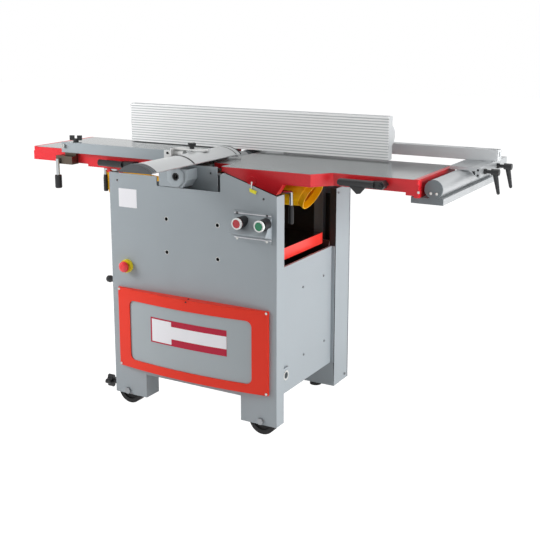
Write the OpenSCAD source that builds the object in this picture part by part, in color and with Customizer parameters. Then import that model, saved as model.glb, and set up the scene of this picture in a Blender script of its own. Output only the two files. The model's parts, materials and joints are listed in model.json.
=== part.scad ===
// Combination planer thicknesser: a sheet-steel floor cabinet with two hinged
// cast planing tables, a spiral cutterblock, a rising thicknesser bed, a ribbed
// fence on a round rail and a bridge guard. All lengths in millimetres.
// While modelling, X = 0 is the cutterblock axis, Y = 0 the face of the front
// panel and Z = 0 the floor; place() then centres the machine on its footprint.

/* [Cabinet] */
// Distance from the cutterblock axis to the left side
cab_left = 283; // [250:1:330]
// Distance from the cutterblock axis to the right side
cab_right = 383; // [350:1:430]
// Depth of the cabinet, front face to back face
cab_depth = 547; // [530:1:600]
// Thickness of the sheet steel
sheet_t = 3; // [2:0.5:4]
// Height of the leg ends above the floor
leg_z = 38; // [30:1:44]
// Width of each front leg
leg_w = 137; // [120:1:150]
// Height of the cut-out between the legs
leg_gap_h = 87; // [60:1:110]
// Drop of the left top edge of the front panel below the outfeed table
panel_drop = 43; // [40:1:54]
// Depth of the folded edges of the front panel
flange_d = 50; // [30:1:54]
// Step of the side panels in from the cabinet sides
side_recess = 15; // [10:1:25]
// Lower edge of the side panels
side_low = 129; // [110:1:160]
// Drop of the side panels' upper edge below the bed at rest
side_drop = 45; // [36:1:70]
// Front face of the rear columns
column_y = 430; // [430:1:440]
// Drop of the top of the rear columns below the outfeed table
column_drop = 109; // [94:1:144]
// Width of the rear columns
column_w = 130; // [100:1:150]

/* [Cutterblock] */
// Cutting circle
cut_d = 74; // [70:1:80]
// Planing width
cut_w = 310; // [300:1:312]
// Front end of the cutterblock
cut_y = 115; // [110:1:120]
// Spiral rows of inserts
insert_rows = 3; // [2:1:4]
// Inserts in each row
insert_count = 14; // [8:1:18]
// Side of one square insert
insert_side = 14; // [12:1:15]
// Shaft through the bearings
shaft_d = 30; // [28:1:34]
// Bit socket in the front end of the shaft
chuck_d = 16; // [10:1:18]

/* [Tables] */
// Height of the outfeed table
table_z = 884; // [870:1:900]
// Left end of the outfeed table from the cutterblock axis
out_len = 767; // [700:1:820]
// Right end of the infeed table from the cutterblock axis
in_len = 797; // [740:1:850]
// Front edge of the tables
table_y = 145; // [140:1:155]
// Width of the tables
table_w = 340; // [336:1:342]
// Front edge of the wide infeed lip
lip_y = 80; // [72:1:84]
// Depth of the cast skirts
skirt_h = 42; // [36:1:46]
// Thickness of the table plates
plate_t = 18; // [14:1:20]
// Largest depth of cut
cut_depth = 4; // [2:0.5:5]
// Slope of the infeed ways, in degrees
way_deg = 17; // [14:0.5:18]
// Drop of the hinge axis below the outfeed table
hinge_drop = 46; // [42:1:50]
// Distance of the hinge axis behind the tables
hinge_back = 30; // [28:1:34]
// Hinge pin diameter
hinge_pin_d = 16; // [12:1:20]

/* [Thicknesser] */
// Gap between the cutting circle and the bed at rest
bed_gap = 199; // [170:1:215]
// Thickness of the bed's edge
bed_t = 40; // [34:1:46]
// Left end of the bed from the cutterblock axis
bed_left = 240; // [200:1:260]
// Right end of the bed from the cutterblock axis
bed_right = 330; // [300:1:345]
// Width of the bed
bed_w = 318; // [300:1:322]
// Lift ram diameter
ram_d = 100; // [80:1:110]
// Lift screw diameter
screw_d = 24; // [20:1:30]
// Handwheel diameter
wheel_d = 190; // [150:1:200]
// Drop of the handwheel axis below the bed at rest
wheel_drop = 139; // [121:1:171]
// Distance of the handwheel axis behind the front panel
wheel_y = 120; // [110:1:130]

/* [Fence] */
// Length of the fence
fence_len = 1096; // [900:1:1200]
// Height of the fence
fence_h = 150; // [120:1:160]
// Right end of the fence from the cutterblock axis
fence_right = 568; // [500:1:600]
// Face of the fence
fence_y = 445; // [440:1:448]
// Number of ribs on the fence face
fence_ribs = 16; // [10:1:20]
// Depth of the fence section
fence_t = 34; // [28:1:38]
// Diameter of the round rail
rail_d = 59; // [50:1:64]
// Distance of the rail axis beyond the infeed table
rail_out = 40; // [36:1:50]
// Front end of the rail
rail_y = 170; // [150:1:200]
// Length of the rail
rail_len = 528; // [500:1:600]
// Length of the carriage along the rail
carriage_len = 300; // [260:1:320]

/* [Guard] */
// Length of the bridge guard
guard_len = 518; // [500:1:526]
// Width of the bridge guard
guard_w = 124; // [100:1:126]
// Front end of the bridge guard
guard_front = -214; // [-222:1:-206]
// Left end of the guard arm from the cutterblock axis
arm_left = 606; // [560:1:640]
// Height of the guard arm plate
arm_h = 38; // [34:1:42]

/* [Controls] */
// Button diameter
button_d = 24; // [20:1:28]
// Button travel
button_travel = 4; // [2:0.5:5]
// Mushroom head diameter
mushroom_d = 40; // [32:1:44]

/* [Mounts] */
// Spacing of the mortising-table bolt holes across the front
mortise_dx = 205; // [190:1:215]
// Spacing of the mortising-table bolt holes in height
mortise_dz = 115; // [100:1:125]
// Mortising-table bolt holes
mortise_hole_d = 13; // [10:1:16]
// Outside diameter of the dust port
port_d = 105; // [96:1:112]
// Wall of the dust port
port_wall = 2.5; // [2:0.5:4]

/* [Transport] */
// Wheel diameter
roll_d = 100; // [90:1:106]
// Wheel width
roll_w = 32; // [26:1:36]
// Axle diameter
axle_d = 16; // [12:1:18]

/* [Fits] */
// Radial clearance of turning fits
run_c = 0.05; // [0.02:0.01:0.1]
// Gap between sliding or passing faces
slip = 0.4; // [0.3:0.1:0.6]

/* [Hidden] */
$fn = 48;
grey = "#b9bec2";
red = "#d4373c";
black = "#26282a";
alu = "#cfd2d3";
steel = "#a9adb0";
yellow = "#f0b412";
table_back = table_y + table_w;
cut_r = cut_d / 2;
axis_z = table_z - cut_r;
cut_end = cut_y + cut_w;
in_z = table_z - cut_depth;
// Heights that follow the outfeed table and the cutterblock
panel_top = table_z - panel_drop;
column_top = table_z - column_drop;
hinge_z = table_z - hinge_drop;
bed_z = axis_z - cut_r - bed_gap;
side_high = bed_z - side_drop;
wheel_z = bed_z - wheel_drop;
hinge_y = table_back + hinge_back;
// Front and rear cast cheeks that carry the cutterblock and the rollers
cheek_t = 22;
cheek_f = cut_y - cheek_t - 22;
cheek_r = cut_end + 22;
// Infeed ways: a line that falls away from the cutterblock
way_x = 130;
way_z = in_z - 16;
wedge_x = 335;
way_tan = tan(way_deg);
way_t = 14;
lip_left = 126;
lip_right = 460;
mouth = cut_r + 2.5;
wedge_d = 30;
wedge_step = 25;
// Rear of the wide lip and the jog to the plain front edge
jog_x = 516;
notch_l = 81;
notch_r = 173;
notch_z = axis_z - 38;
side_l = -cab_left + side_recess;
side_r = cab_right - side_recess;
// Dust port: centre of its mouth, its slope and its length
port_x = 410;
port_y = 196;
port_z = axis_z - 59;
port_dip = 30;
port_len = 40;
port_rim = 3;
port_grip = 20;
// Lift mechanism
lift_y = cut_y + cut_w / 2;
ram_low = 230;
// Fence carriage and arm
rail_x = in_len + rail_out;
rail_z = in_z - rail_d / 2;
carriage_y = rail_y + rail_len - carriage_len;
base_w = 104;
base_h = 20;
base_z = rail_z - rail_d / 2 - base_h + 2;
carriage_t = 12;
carriage_z = in_z + slip;
carriage_top = carriage_z + carriage_t;
carriage_l = rail_x - rail_d / 2 - 2;
carriage_r = rail_x + rail_d / 2 + 40;
fence_z = table_z + 1.5;
tilt_y = fence_y + fence_t + 8;
tilt_z = fence_z + 11;
fence_arm_y = tilt_y + 72;
fence_arm_d = 40;
fence_arm_h = 38;
fence_arm_z = carriage_top;
fence_arm_l = -110;
fence_arm_r = carriage_r + 8;
clamp_reach = 46;
clamp_grip = 74;
// Guard
guard_x = 0;
guard_z = table_z + 5;
guard_rise = 26;
arm_t = 8;
arm_y = table_y - 14 - arm_t;
arm_z = table_z - 10;
arm_right = -108;
// Overall footprint
mid_x = (carriage_r + clamp_reach + 12 - out_len) / 2;
mid_y = (guard_front - 8 + rail_y + rail_len) / 2;

module place() { translate([-mid_x, -mid_y, 0]) children(); }
// Box between two corners
module span(a, b) { translate(a) cube(b - a); }
// Cylinders along the three axes, from one end to the other
module along_x(y, z, x0, x1, d) { translate([x0, y, z]) rotate([0, 90, 0]) cylinder(h = x1 - x0, d = d); }
module along_y(x, z, y0, y1, d) { translate([x, y0, z]) rotate([-90, 0, 0]) cylinder(h = y1 - y0, d = d); }
module along_z(x, y, z0, z1, d) { translate([x, y, z0]) cylinder(h = z1 - z0, d = d); }
// Plate with its outline drawn in X and Z, its front face at y
module plate_xz(y, t) { translate([0, y + t, 0]) rotate([90, 0, 0]) linear_extrude(t) children(); }
// Plate with its outline drawn in Y and Z, its left face at x
module plate_yz(x, t) { translate([x, 0, 0]) rotate([90, 0, 90]) linear_extrude(t) children(); }
// Rectangle with round corners, built from true arcs
module round_rect(a, b, r) {
  translate([a[0] + r, a[1]]) square([b[0] - a[0] - 2 * r, b[1] - a[1]]);
  translate([a[0], a[1] + r]) square([b[0] - a[0], b[1] - a[1] - 2 * r]);
  for (x = [a[0] + r, b[0] - r], y = [a[1] + r, b[1] - r]) translate([x, y]) circle(r);
}
// Infeed way line: height of the ways at x
function way(x) = way_z - (x - way_x) * way_tan;

// Cabinet

corner_holes = [[-cab_left + 34, panel_top - 26], [cab_right - 48, panel_top - 40]];
peak_r = 14;
panel_peak = notch_r + peak_r;
mortise_x = 58;
mortise_z = axis_z - 206;
button_x = [269, 351];
button_z = panel_top - 116;
estop_at = [-214, 515];
clutch_at = [28, 60];
axle_x = [-cab_left + 55, cab_right - 60];
axle_z = roll_d / 2;
roll_y = 10;

module panel_outline() {
  slope_end = way(cab_right) + 26;
  peak_z = slope_end + (cab_right - panel_peak) * way_tan - peak_r;
  polygon([[-cab_left, leg_z], [-cab_left + leg_w, leg_z], [-cab_left + leg_w, leg_z + leg_gap_h],
    [cab_right - leg_w, leg_z + leg_gap_h], [cab_right - leg_w, leg_z], [cab_right, leg_z],
    [cab_right, slope_end],
    each [for (a = [90:15:180]) [panel_peak, peak_z] + peak_r * [cos(a), sin(a)]], [notch_r, notch_z],
    [-notch_l, notch_z], [-notch_l, panel_top], [-cab_left, panel_top]]);
}
module front_panel() color(grey) difference() {
  fold_top = way(cab_right) + 26;
  union() {
    plate_xz(0, sheet_t) panel_outline();
    span([cab_right - sheet_t, 0, leg_z], [cab_right, flange_d, fold_top]);
    span([-cab_left, 0, leg_z], [-cab_left + sheet_t, flange_d, panel_top]);
    for (x = [-cab_left + leg_w - sheet_t, cab_right - leg_w])
      span([x, 0, leg_z], [x + sheet_t, flange_d + 22, leg_z + leg_gap_h]);
  }
  for (dx = [-0.5, 0.5], dz = [-0.5, 0.5])
    along_y(mortise_x + dx * mortise_dx, mortise_z + dz * mortise_dz, -1, sheet_t + 1, mortise_hole_d);
  for (x = button_x) along_y(x, button_z, -1, sheet_t + 1, button_d + 2);
  along_y(estop_at[0], estop_at[1], -1, sheet_t + 1, 23);
  for (x = axle_x) along_y(x, axle_z, -1, sheet_t + 1, axle_d + 2 * run_c);
  along_x(clutch_at[0], clutch_at[1], -cab_left - 1, -cab_left + sheet_t + 1, 16 + 2 * run_c);
  for (p = corner_holes) along_y(p[0], p[1], -1, sheet_t + 1, 8);
}
// Back sheet with the two folded columns that stand at the rear corners, each with a lap seam
column_step = 190;
seam_y = cab_depth - 71;
lap_step = 1.2;
module rear_panel() color(grey) {
  foot_ledges();
  span([-cab_left, cab_depth - sheet_t, leg_z], [cab_right, cab_depth, column_top]);
  for (side = [0, 1]) {
    outer = side == 0 ? -cab_left : cab_right - sheet_t;
    inner = side == 0 ? -cab_left : cab_right - column_w;
    lap = side == 0 ? lap_step : -lap_step;
    span([outer, column_y, leg_z], [outer + sheet_t, seam_y, column_top]);
    span([outer + lap, seam_y - 4, leg_z], [outer + sheet_t + lap, cab_depth, column_top]);
    span([inner, column_y, leg_z], [inner + column_w, column_y + sheet_t, column_top - column_step]);
    span([outer == -cab_left ? outer : outer - 22, column_y, leg_z],
      [outer == -cab_left ? outer + 25 : outer + sheet_t, column_y + sheet_t, column_top]);
  }
}
side_lip = 8;
// Side sheet with a folded front and rear edge, set in from the cabinet side
module side_panel(x, dir) {
  inner = x + dir * sheet_t;
  low_x = min(x, inner);
  span([low_x, flange_d + slip, side_low], [low_x + sheet_t, column_y - slip, side_high]);
  fold = [min(x, x - dir * (side_recess - sheet_t)), max(x, x - dir * (side_recess - sheet_t))];
  for (y = [flange_d + slip, column_y - slip - sheet_t])
    span([fold[0], y, side_low], [fold[1], y + sheet_t, side_high]);
  span([min(x, x + dir * side_lip), flange_d + slip, side_high - sheet_t],
    [max(x, x + dir * side_lip), column_y - slip, side_high]);
}
socket_at = [76, 196];
module right_side() difference() {
  union() {
    side_panel(side_r, -1);
    span([side_r, socket_at[0] - 20, socket_at[1] - 26], [side_r + 8, socket_at[0] + 20, socket_at[1] + 26]);
  }
  along_x(socket_at[0], socket_at[1], side_r - 20, side_r + 20, 22);
}
module left_side() difference() {
  side_panel(side_l, 1);
  along_x(wheel_y, wheel_z, side_l - 20, side_l + 20, 20 + 2 * run_c);
}
module side_panels() color(grey) {
  right_side();
  left_side();
}
// Floor tray that ties the panels together and carries the motor and the lift
tray_z = leg_z + leg_gap_h + 1;
tray_t = 5;
tray_lip = 40;
module base_tray() color(grey) difference() {
  union() {
    span([side_l + sheet_t + slip, sheet_t, tray_z],
      [side_r - sheet_t - slip, cab_depth - sheet_t, tray_z + tray_t]);
    for (y = [sheet_t, cab_depth - sheet_t - tray_t])
      span([side_l + sheet_t + slip, y, tray_z], [side_r - sheet_t - slip, y + tray_t, tray_z + tray_lip]);
  }
  // slots for the front plates of the rear columns
  for (x = [-cab_left - slip, cab_right - column_w - slip])
    span([x, column_y - slip, tray_z - 1],
      [x + column_w + 2 * slip, column_y + sheet_t + slip, tray_z + tray_t + 1]);
}

// Cast portal that carries the cutterblock, the rollers and the ways
roller_x = 72;
roller_d = 36;
roller_z = axis_z - 21;
roller_shaft = 16;
deck_z = tray_z + tray_t;
cheek_low = axis_z - 122;
shoulder_x = 105;
cheek_leg = 36;
module cheek(y, bore) difference() {
  plate_xz(y, cheek_t) polygon([[-cab_left + 25, deck_z], [-cab_left + 25 + cheek_leg, deck_z],
    [-cab_left + 25 + cheek_leg, cheek_low], [cab_right - 97, cheek_low], [cab_right - 97, deck_z],
    [cab_right - 61, deck_z], [cab_right - 61, way(cab_right - 61) - way_t - slip],
    [110, way(110) - way_t - slip], [62, axis_z - 8], [-shoulder_x, axis_z - 8], [-shoulder_x, axis_z - 34],
    [-cab_left + 25, axis_z - 60]]);
  along_y(0, axis_z, y - 1, y + cheek_t + 1, bore);
  for (x = [-roller_x, roller_x])
    along_y(x, roller_z, y - 1, y + cheek_t + 1, roller_shaft + 2 * run_c);
}
bearing_d = 72;
module machine_cheeks() color(steel) for (y = [cheek_f, cheek_r]) cheek(y, bearing_d);
// Flanged bearing housing let into a cheek, with the shaft's true bore
module bearing_housing(y, flange_y) difference() {
  union() {
    along_y(0, axis_z, y, y + cheek_t, bearing_d - 0.04);
    intersection() {
      along_y(0, axis_z, flange_y, flange_y + 10, 104);
      span([-60, flange_y, axis_z - 60], [60, flange_y + 10, axis_z + 8]);
    }
  }
  along_y(0, axis_z, min(y, flange_y) - 1, max(y + cheek_t, flange_y + 10) + 1, shaft_d + 2 * run_c);
}
module cutter_bearings() color(steel) {
  bearing_housing(cheek_f, cheek_f - 10);
  bearing_housing(cheek_r, cheek_r + cheek_t);
}
// Plate before the front bearing, seen through the notch of the front panel
nose_back = cheek_f - 13;
module notch_plate() color(grey) difference() {
  span([-notch_l + 11, nose_back, notch_z - 16], [125, nose_back + sheet_t, axis_z + 33]);
  along_y(0, axis_z, nose_back - 1, nose_back + sheet_t + 1, shaft_d + 8);
  along_y(98, axis_z + 10, nose_back - 1, nose_back + sheet_t + 1, 7);
}
// Housing over the shaft end: a block with a round boss and a small mouth
chuck_front = -2;
chuck_x = [-70, 45];
chuck_top = axis_z + 26;
module chuck_housing() color(grey) difference() {
  union() {
    plate_xz(chuck_front, nose_back - chuck_front) polygon([[chuck_x[0], notch_z + 2],
      [chuck_x[1] - 20, notch_z + 2], [chuck_x[1], notch_z + 29], [chuck_x[1], chuck_top],
      [chuck_x[0], chuck_top]]);
    intersection() {
      along_y(0, axis_z, chuck_front, nose_back, 74);
      span([-60, chuck_front, axis_z - 60], [60, nose_back, chuck_top]);
    }
  }
  along_y(0, axis_z, chuck_front + 5, nose_back + 1, shaft_d + 8);
  along_y(0, axis_z, chuck_front - 1, chuck_front + 6, 26);
}
// Spiral cutterblock: the seats of the square inserts follow a helix
insert_t = 3;
body_r = cut_r - 1;
pulley_y = cheek_r + cheek_t + 30;
pulley_w = 22;
function seat_angle(row, i) = row * 360 / insert_rows + i * 16;
function seat_y(i) = cut_y + cut_w * (i + 0.5) / insert_count;
module insert_seats(depth) {
  for (row = [0:insert_rows - 1], i = [0:insert_count - 1])
    translate([0, seat_y(i), axis_z]) rotate([0, seat_angle(row, i), 0])
      translate([-insert_side / 2, -insert_side / 2, cut_r - depth]) cube([insert_side, insert_side, depth]);
}
module cutterblock() color(steel) difference() {
  union() {
    along_y(0, axis_z, cut_y, cut_end, 2 * body_r);
    along_y(0, axis_z, chuck_front + 8, pulley_y + pulley_w, shaft_d);
    along_y(0, axis_z, cut_end, cut_end + 10, shaft_d + 12);
  }
  insert_seats(insert_t + 1.2);
  along_y(0, axis_z, chuck_front + 7, chuck_front + 58, chuck_d);
}
module cutter_inserts() color("#8d9093") intersection() {
  insert_seats(insert_t + 1.2);
  along_y(0, axis_z, cut_y, cut_end, cut_d);
}
// Belt drive at the back
cutter_pulley_d = 70;
motor_pulley_d = 92;
motor_x = 168;
motor_d = 156;
motor_z = deck_z + motor_d / 2 + 12;
groove = 3;
// Grooved pulley along Y
module pulley(x, z, d, bore) difference() {
  along_y(x, z, pulley_y, pulley_y + pulley_w, d);
  along_y(x, z, pulley_y - 1, pulley_y + pulley_w + 1, bore);
  for (i = [0:3]) translate([x, pulley_y + 3.5 + 5 * i, z]) rotate([-90, 0, 0]) rotate_extrude()
    polygon([[d / 2 - groove, 0.9], [d / 2 + 1, -0.4], [d / 2 + 1, 2.9], [d / 2 - groove, 1.6]]);
}
module cutter_pulley() color(steel) pulley(0, axis_z, cutter_pulley_d, shaft_d + 0.04);
motor_shaft = 24;
module motor_pulley() color(steel) {
  pulley(motor_x, motor_z, motor_pulley_d, motor_shaft + 0.04);
  along_y(motor_x, motor_z, motor_y + motor_len + slip, pulley_y + pulley_w, motor_shaft);
}
motor_y = 235;
motor_len = 200;
// Finned motor on a foot plate
module drive_motor() color("#5d6468") {
  along_y(motor_x, motor_z, motor_y, motor_y + motor_len, motor_d - 16);
  along_y(motor_x, motor_z, motor_y + motor_len - 16, motor_y + motor_len, motor_d);
  along_y(motor_x, motor_z, motor_y, motor_y + 44, motor_d);
  for (i = [0:23]) translate([motor_x, motor_y + 44, motor_z]) rotate([0, i * 15, 0])
    translate([-1.5, 0, motor_d / 2 - 12]) cube([3, motor_len - 60, 9]);
  span([motor_x - 60, motor_y + 50, deck_z], [motor_x + 60, motor_y + motor_len - 22, deck_z + 24]);
}
// Flat ribbed belt round both pulleys, a hair off their rims
module belt_loop(grow) {
  hull_d = [cutter_pulley_d + 2 * grow, motor_pulley_d + 2 * grow];
  lean = atan2(motor_x, axis_z - motor_z);
  reach = norm([motor_x, axis_z - motor_z]);
  skew = asin((hull_d[1] - hull_d[0]) / 2 / reach);
  // outline in the belt's own frame, motor pulley at the origin, cutter pulley at +Y
  top = [hull_d[0] / 2 * cos(skew), reach + hull_d[0] / 2 * sin(skew)];
  low = [hull_d[1] / 2 * cos(skew), hull_d[1] / 2 * sin(skew)];
  translate([motor_x, motor_z]) rotate(lean) {
    polygon([low, top, [-top[0], top[1]], [-low[0], low[1]]]);
    circle(d = hull_d[1]);
    translate([0, reach]) circle(d = hull_d[0]);
  }
}
module drive_belt() color(black) plate_xz(pulley_y + 2, pulley_w - 4) difference() {
  belt_loop(3.3);
  belt_loop(0.3);
}
// Feed rollers: a serrated one before the cutterblock and a plain one after it
module roller_body(x) {
  along_y(x, roller_z, cut_y - slip - 20, cheek_r - 2, roller_d - 6);
  along_y(x, roller_z, cheek_f + 2, cheek_r + cheek_t - 2, roller_shaft);
}
teeth = 28;
module infeed_roller() color(steel) {
  roller_body(roller_x);
  translate([roller_x, cut_end, roller_z]) rotate([90, 0, 0]) linear_extrude(cut_w)
    polygon([for (i = [0:2 * teeth - 1]) let (r = roller_d / 2 - (i % 2) * 2, a = i * 180 / teeth)
      [r * cos(a), r * sin(a)]]);
}
module outfeed_roller() color(steel) {
  roller_body(-roller_x);
  along_y(-roller_x, roller_z, cut_y, cut_end, roller_d);
}
// Thicknesser bed: a ground plate with a skirt and ribs, on the lift ram
bed_y = lift_y - bed_w / 2;
bed_plate = 16;
bed_wall = 10;
module thicknesser_bed() color(red) difference() {
  span([-bed_left, bed_y, bed_z - bed_t], [bed_right, bed_y + bed_w, bed_z]);
  for (i = [0:4], j = [0:1]) {
    cell_x = (bed_left + bed_right - bed_wall) / 5;
    cell_y = (bed_w - bed_wall) / 2;
    if (i != 2)
      span([-bed_left + bed_wall + i * cell_x, bed_y + bed_wall + j * cell_y, bed_z - bed_t - 1],
        [-bed_left + (i + 1) * cell_x, bed_y + (j + 1) * cell_y, bed_z - bed_plate]);
  }
}
nut_h = 30;
module lift_ram() color(steel) difference() {
  along_z(0, lift_y, ram_low, bed_z - bed_t, ram_d);
  along_z(0, lift_y, ram_low + nut_h, bed_z - bed_t - 8, screw_d + 34);
  along_z(0, lift_y, ram_low - 1, ram_low + nut_h + 1, screw_d + 2 * run_c);
}
column_od = ram_d + 24;
column_high = bed_z - 191;
gear_h = 60;
box_top = deck_z + gear_h;
screw_sink = 30;
module lift_screw() color(steel) {
  along_z(0, lift_y, box_top - screw_sink, bed_z - bed_t - 60, screw_d);
  along_z(0, lift_y, box_top + slip, box_top + 8, screw_d + 16);
}
// Closed gear case: a chain leg beside the handwheel, a foot under the screw and the guide of the ram
chain_in = 46;
chain_x = -cab_left + chain_in;
module lift_gearbox() color("#6c7377") difference() {
  union() {
    span([chain_x, wheel_y - 13, deck_z], [chain_x + 40, wheel_y + 26, wheel_z + 30]);
    span([chain_x, wheel_y + 2, deck_z], [chain_x + 40, lift_y + 40, box_top]);
    span([chain_x + 30, lift_y - 40, deck_z], [40, lift_y + 40, box_top]);
    along_z(0, lift_y, deck_z, box_top + 14, column_od + 44);
    along_z(0, lift_y, box_top, column_high, column_od);
  }
  along_z(0, lift_y, box_top, column_high + 1, ram_d + 2 * run_c);
  along_x(wheel_y, wheel_z, chain_x - 1, chain_x + 32, 20 + 2 * run_c);
  along_z(0, lift_y, box_top - screw_sink - 4, box_top + 1, screw_d + 2 * run_c);
}
wheel_x = -cab_left - 14;
// Handwheel: a round rim on three spokes and a hub, with a turning knob
rim_d = 16;
hub_d = 46;
hub_w = 32;
knob_r = wheel_d / 2 - 9;
knob_len = 42;
knob_turn = -70;
module handwheel() color(black) {
  translate([wheel_x, wheel_y, wheel_z]) rotate([0, 90, 0]) {
    rotate_extrude() translate([wheel_d / 2 - rim_d / 2, 0]) circle(d = rim_d);
    translate([0, 0, -hub_w / 2]) cylinder(h = hub_w, d = hub_d);
    cylinder(h = chain_x + 30 - wheel_x, d = 20);
    for (a = [30, 150, 270]) rotate(a) translate([18, 0, 0]) rotate([0, 90, 0])
      cylinder(h = wheel_d / 2 - rim_d - 12, d = 13);
    rotate(knob_turn) translate([knob_r, 0, 0]) {
      translate([0, 0, -rim_d / 2]) cylinder(h = rim_d, d = 20);
      translate([0, 0, 4 - knob_len]) cylinder(h = knob_len - 8, d = 8);
    }
  }
}
module handwheel_knob() color(black) translate([wheel_x, wheel_y, wheel_z]) rotate([0, 90, 0])
  rotate(knob_turn) translate([knob_r, 0, 0]) rotate_extrude()
    polygon([[4 + run_c, -knob_len], [9, -knob_len], [12, 4 - knob_len], [13, 14 - knob_len], [9.5, -20],
      [8.5, -12], [4 + run_c, -12]]);

// Hinges at the back: fixed lugs on a rail, moving lugs on the tables
lug_t = 20;
lug_d = 32;
fixed_lug_x = [-250, -120, 160, 330];
moving_lug_x = [for (i = [0:3]) fixed_lug_x[i] + (i % 2 == 0 ? lug_t + slip : -lug_t - slip)];
rail_low = column_top - 40;
hinge_plate_y = cab_depth - sheet_t - 9;
module hinge_rail() color(grey) difference() {
  union() {
    span([-cab_left + 27, hinge_plate_y, rail_low], [cab_right - 27, hinge_plate_y + 9, column_top + 20]);
    for (x = fixed_lug_x) {
      along_x(hinge_y, hinge_z, x, x + lug_t, lug_d);
      span([x, hinge_y, column_top + 2], [x + lug_t, hinge_plate_y + 9, hinge_z]);
    }
  }
  for (x = fixed_lug_x) along_x(hinge_y, hinge_z, x - 1, x + lug_t + 1, hinge_pin_d + 2 * run_c);
}
module hinge_pins() color(steel) for (i = [0, 2])
  along_x(hinge_y, hinge_z, fixed_lug_x[i] - 6, fixed_lug_x[i + 1] + lug_t + 6, hinge_pin_d);
// Moving lug that reaches forward to a casting at y, over a height range
module moving_lug(x, y, low, high) {
  along_x(hinge_y, hinge_z, x, x + lug_t, lug_d);
  span([x, y, low], [x + lug_t, hinge_y, high]);
}
module lug_bores(from, to) for (i = [from:to])
  along_x(hinge_y, hinge_z, moving_lug_x[i] - 1, moving_lug_x[i] + lug_t + 1, hinge_pin_d + 2 * run_c);
// Saddle: two sloping ways and a cross bar, hinged at the back
rear_way_y = table_back - 46;
lock_y = lip_y + wedge_d + 9;
lock_x = cab_right - sheet_t - 10;
lock_z = way(wedge_x) + 6;
lock_d = 12;
module way_bar(y, d, x1) plate_xz(y, d) polygon([[way_x + 12, way(way_x + 12) - slip], [x1, way(x1) - slip],
  [x1, way(x1) - way_t], [way_x + 12, way(way_x + 12) - way_t]]);
module infeed_saddle() color(black) difference() {
  union() {
    way_bar(lip_y + 2, wedge_d - 4, wedge_x - 2);
    way_bar(rear_way_y, 36, wedge_x + 20);
    span([way_x + 14, cheek_f + cheek_t + 1, way(way_x + 44) - way_t + 3],
      [way_x + 44, cheek_r - 1, way(way_x + 44) - slip]);
    for (i = [2, 3]) {
      x = moving_lug_x[i];
      low = way(x + lug_t) - way_t + 2;
      span([x, cheek_r + cheek_t + 1, low], [x + lug_t, hinge_y, way(x + lug_t) - slip]);
      moving_lug(x, rear_way_y + 37, low, hinge_z + 4);
    }
    // lug of the lock shaft, behind the wedge
    span([wedge_x - 24, lip_y + 20, way(wedge_x) - way_t], [wedge_x - 4, lock_y + 9, way(wedge_x) - slip]);
    span([wedge_x - 24, lip_y + wedge_d + slip, way(wedge_x) - way_t], [wedge_x - 4, lock_y + 9, lock_z + 9]);
  }
  lug_bores(2, 3);
  along_x(lock_y, lock_z, wedge_x - 26, wedge_x, lock_d + 2 * run_c);
}
// Plan outlines of the tables
module infeed_outline() {
  round_rect([mouth + cut_depth / way_tan, table_y], [in_len, table_back], 8);
  polygon([[lip_left, lip_y + 3], [lip_left + 3, lip_y], [lip_right, lip_y], [jog_x, table_y + 9],
    [lip_left, table_y + 9]]);
}
module outfeed_outline() round_rect([-out_len, table_y], [-mouth, table_back], 8);
skirt_t = 11;
rib_t = 9;
rib_h = 22;
// Ribs under a table plate, between two ends
module table_ribs(x0, x1, count, z) {
  for (i = [1:count]) translate([x0 + (x1 - x0) * i / (count + 1) - rib_t / 2, table_y + 6, z - rib_h])
    cube([rib_t, table_w - 12, rib_h + 1]);
  span([x0 + 10, table_y + table_w / 2, z - rib_h], [x1 - 6, table_y + table_w / 2 + rib_t, z + 1]);
}
// Steel lip over the rollers: the skirt is cut away beside the cutterblock
lip_reach = 118;
module infeed_table() color(red) {
  low = in_z - skirt_h;
  under = in_z - plate_t;
  union() {
    translate([0, 0, under]) linear_extrude(plate_t) infeed_outline();
    span([lip_right - 8, table_y, low], [in_len - 1, table_y + skirt_t, under + 1]);
    span([wedge_x + 24, table_back - skirt_t, low], [in_len - 1, table_back, under + 1]);
    span([in_len - skirt_t - 4, table_y, base_z + base_h], [in_len, table_back, under + 1]);
    table_ribs(lip_right - 20, in_len - skirt_t, 4, under);
    // wedge under the wide lip and its twin at the back
    plate_xz(lip_y, wedge_d) polygon([[lip_left, under + 1], [way_x + 6, way(way_x + 6)],
      [wedge_x, way(wedge_x)], [wedge_x + wedge_step, low], [lip_right - 4, low],
      [lip_right - 4, under + 1]]);
    plate_xz(rear_way_y, 36) polygon([[way_x + 6, under + 1], [way_x + 6, way(way_x + 6)],
      [wedge_x + 24, way(wedge_x + 24)], [wedge_x + 24, under + 1]]);
    // skirt along the jog, and the deeper corner over the rail foot
    translate([0, 0, low]) linear_extrude(under + 1 - low)
      polygon([[lip_right - 12, lip_y], [lip_right, lip_y], [jog_x, table_y + 9], [jog_x - 14, table_y + 9]]);
    span([in_len - 42, table_y, base_z + base_h + 6], [in_len, table_y + skirt_t, under + 1]);
    // round pad on the wedge face
    along_y(243, in_z - 40, lip_y - 2, lip_y + 1, 32);
    along_y(depth_pivot[0], depth_pivot[1], depth_y - 8, table_y + 1, 10);
  }
}
deep_skirt = [-500, -217];
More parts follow.
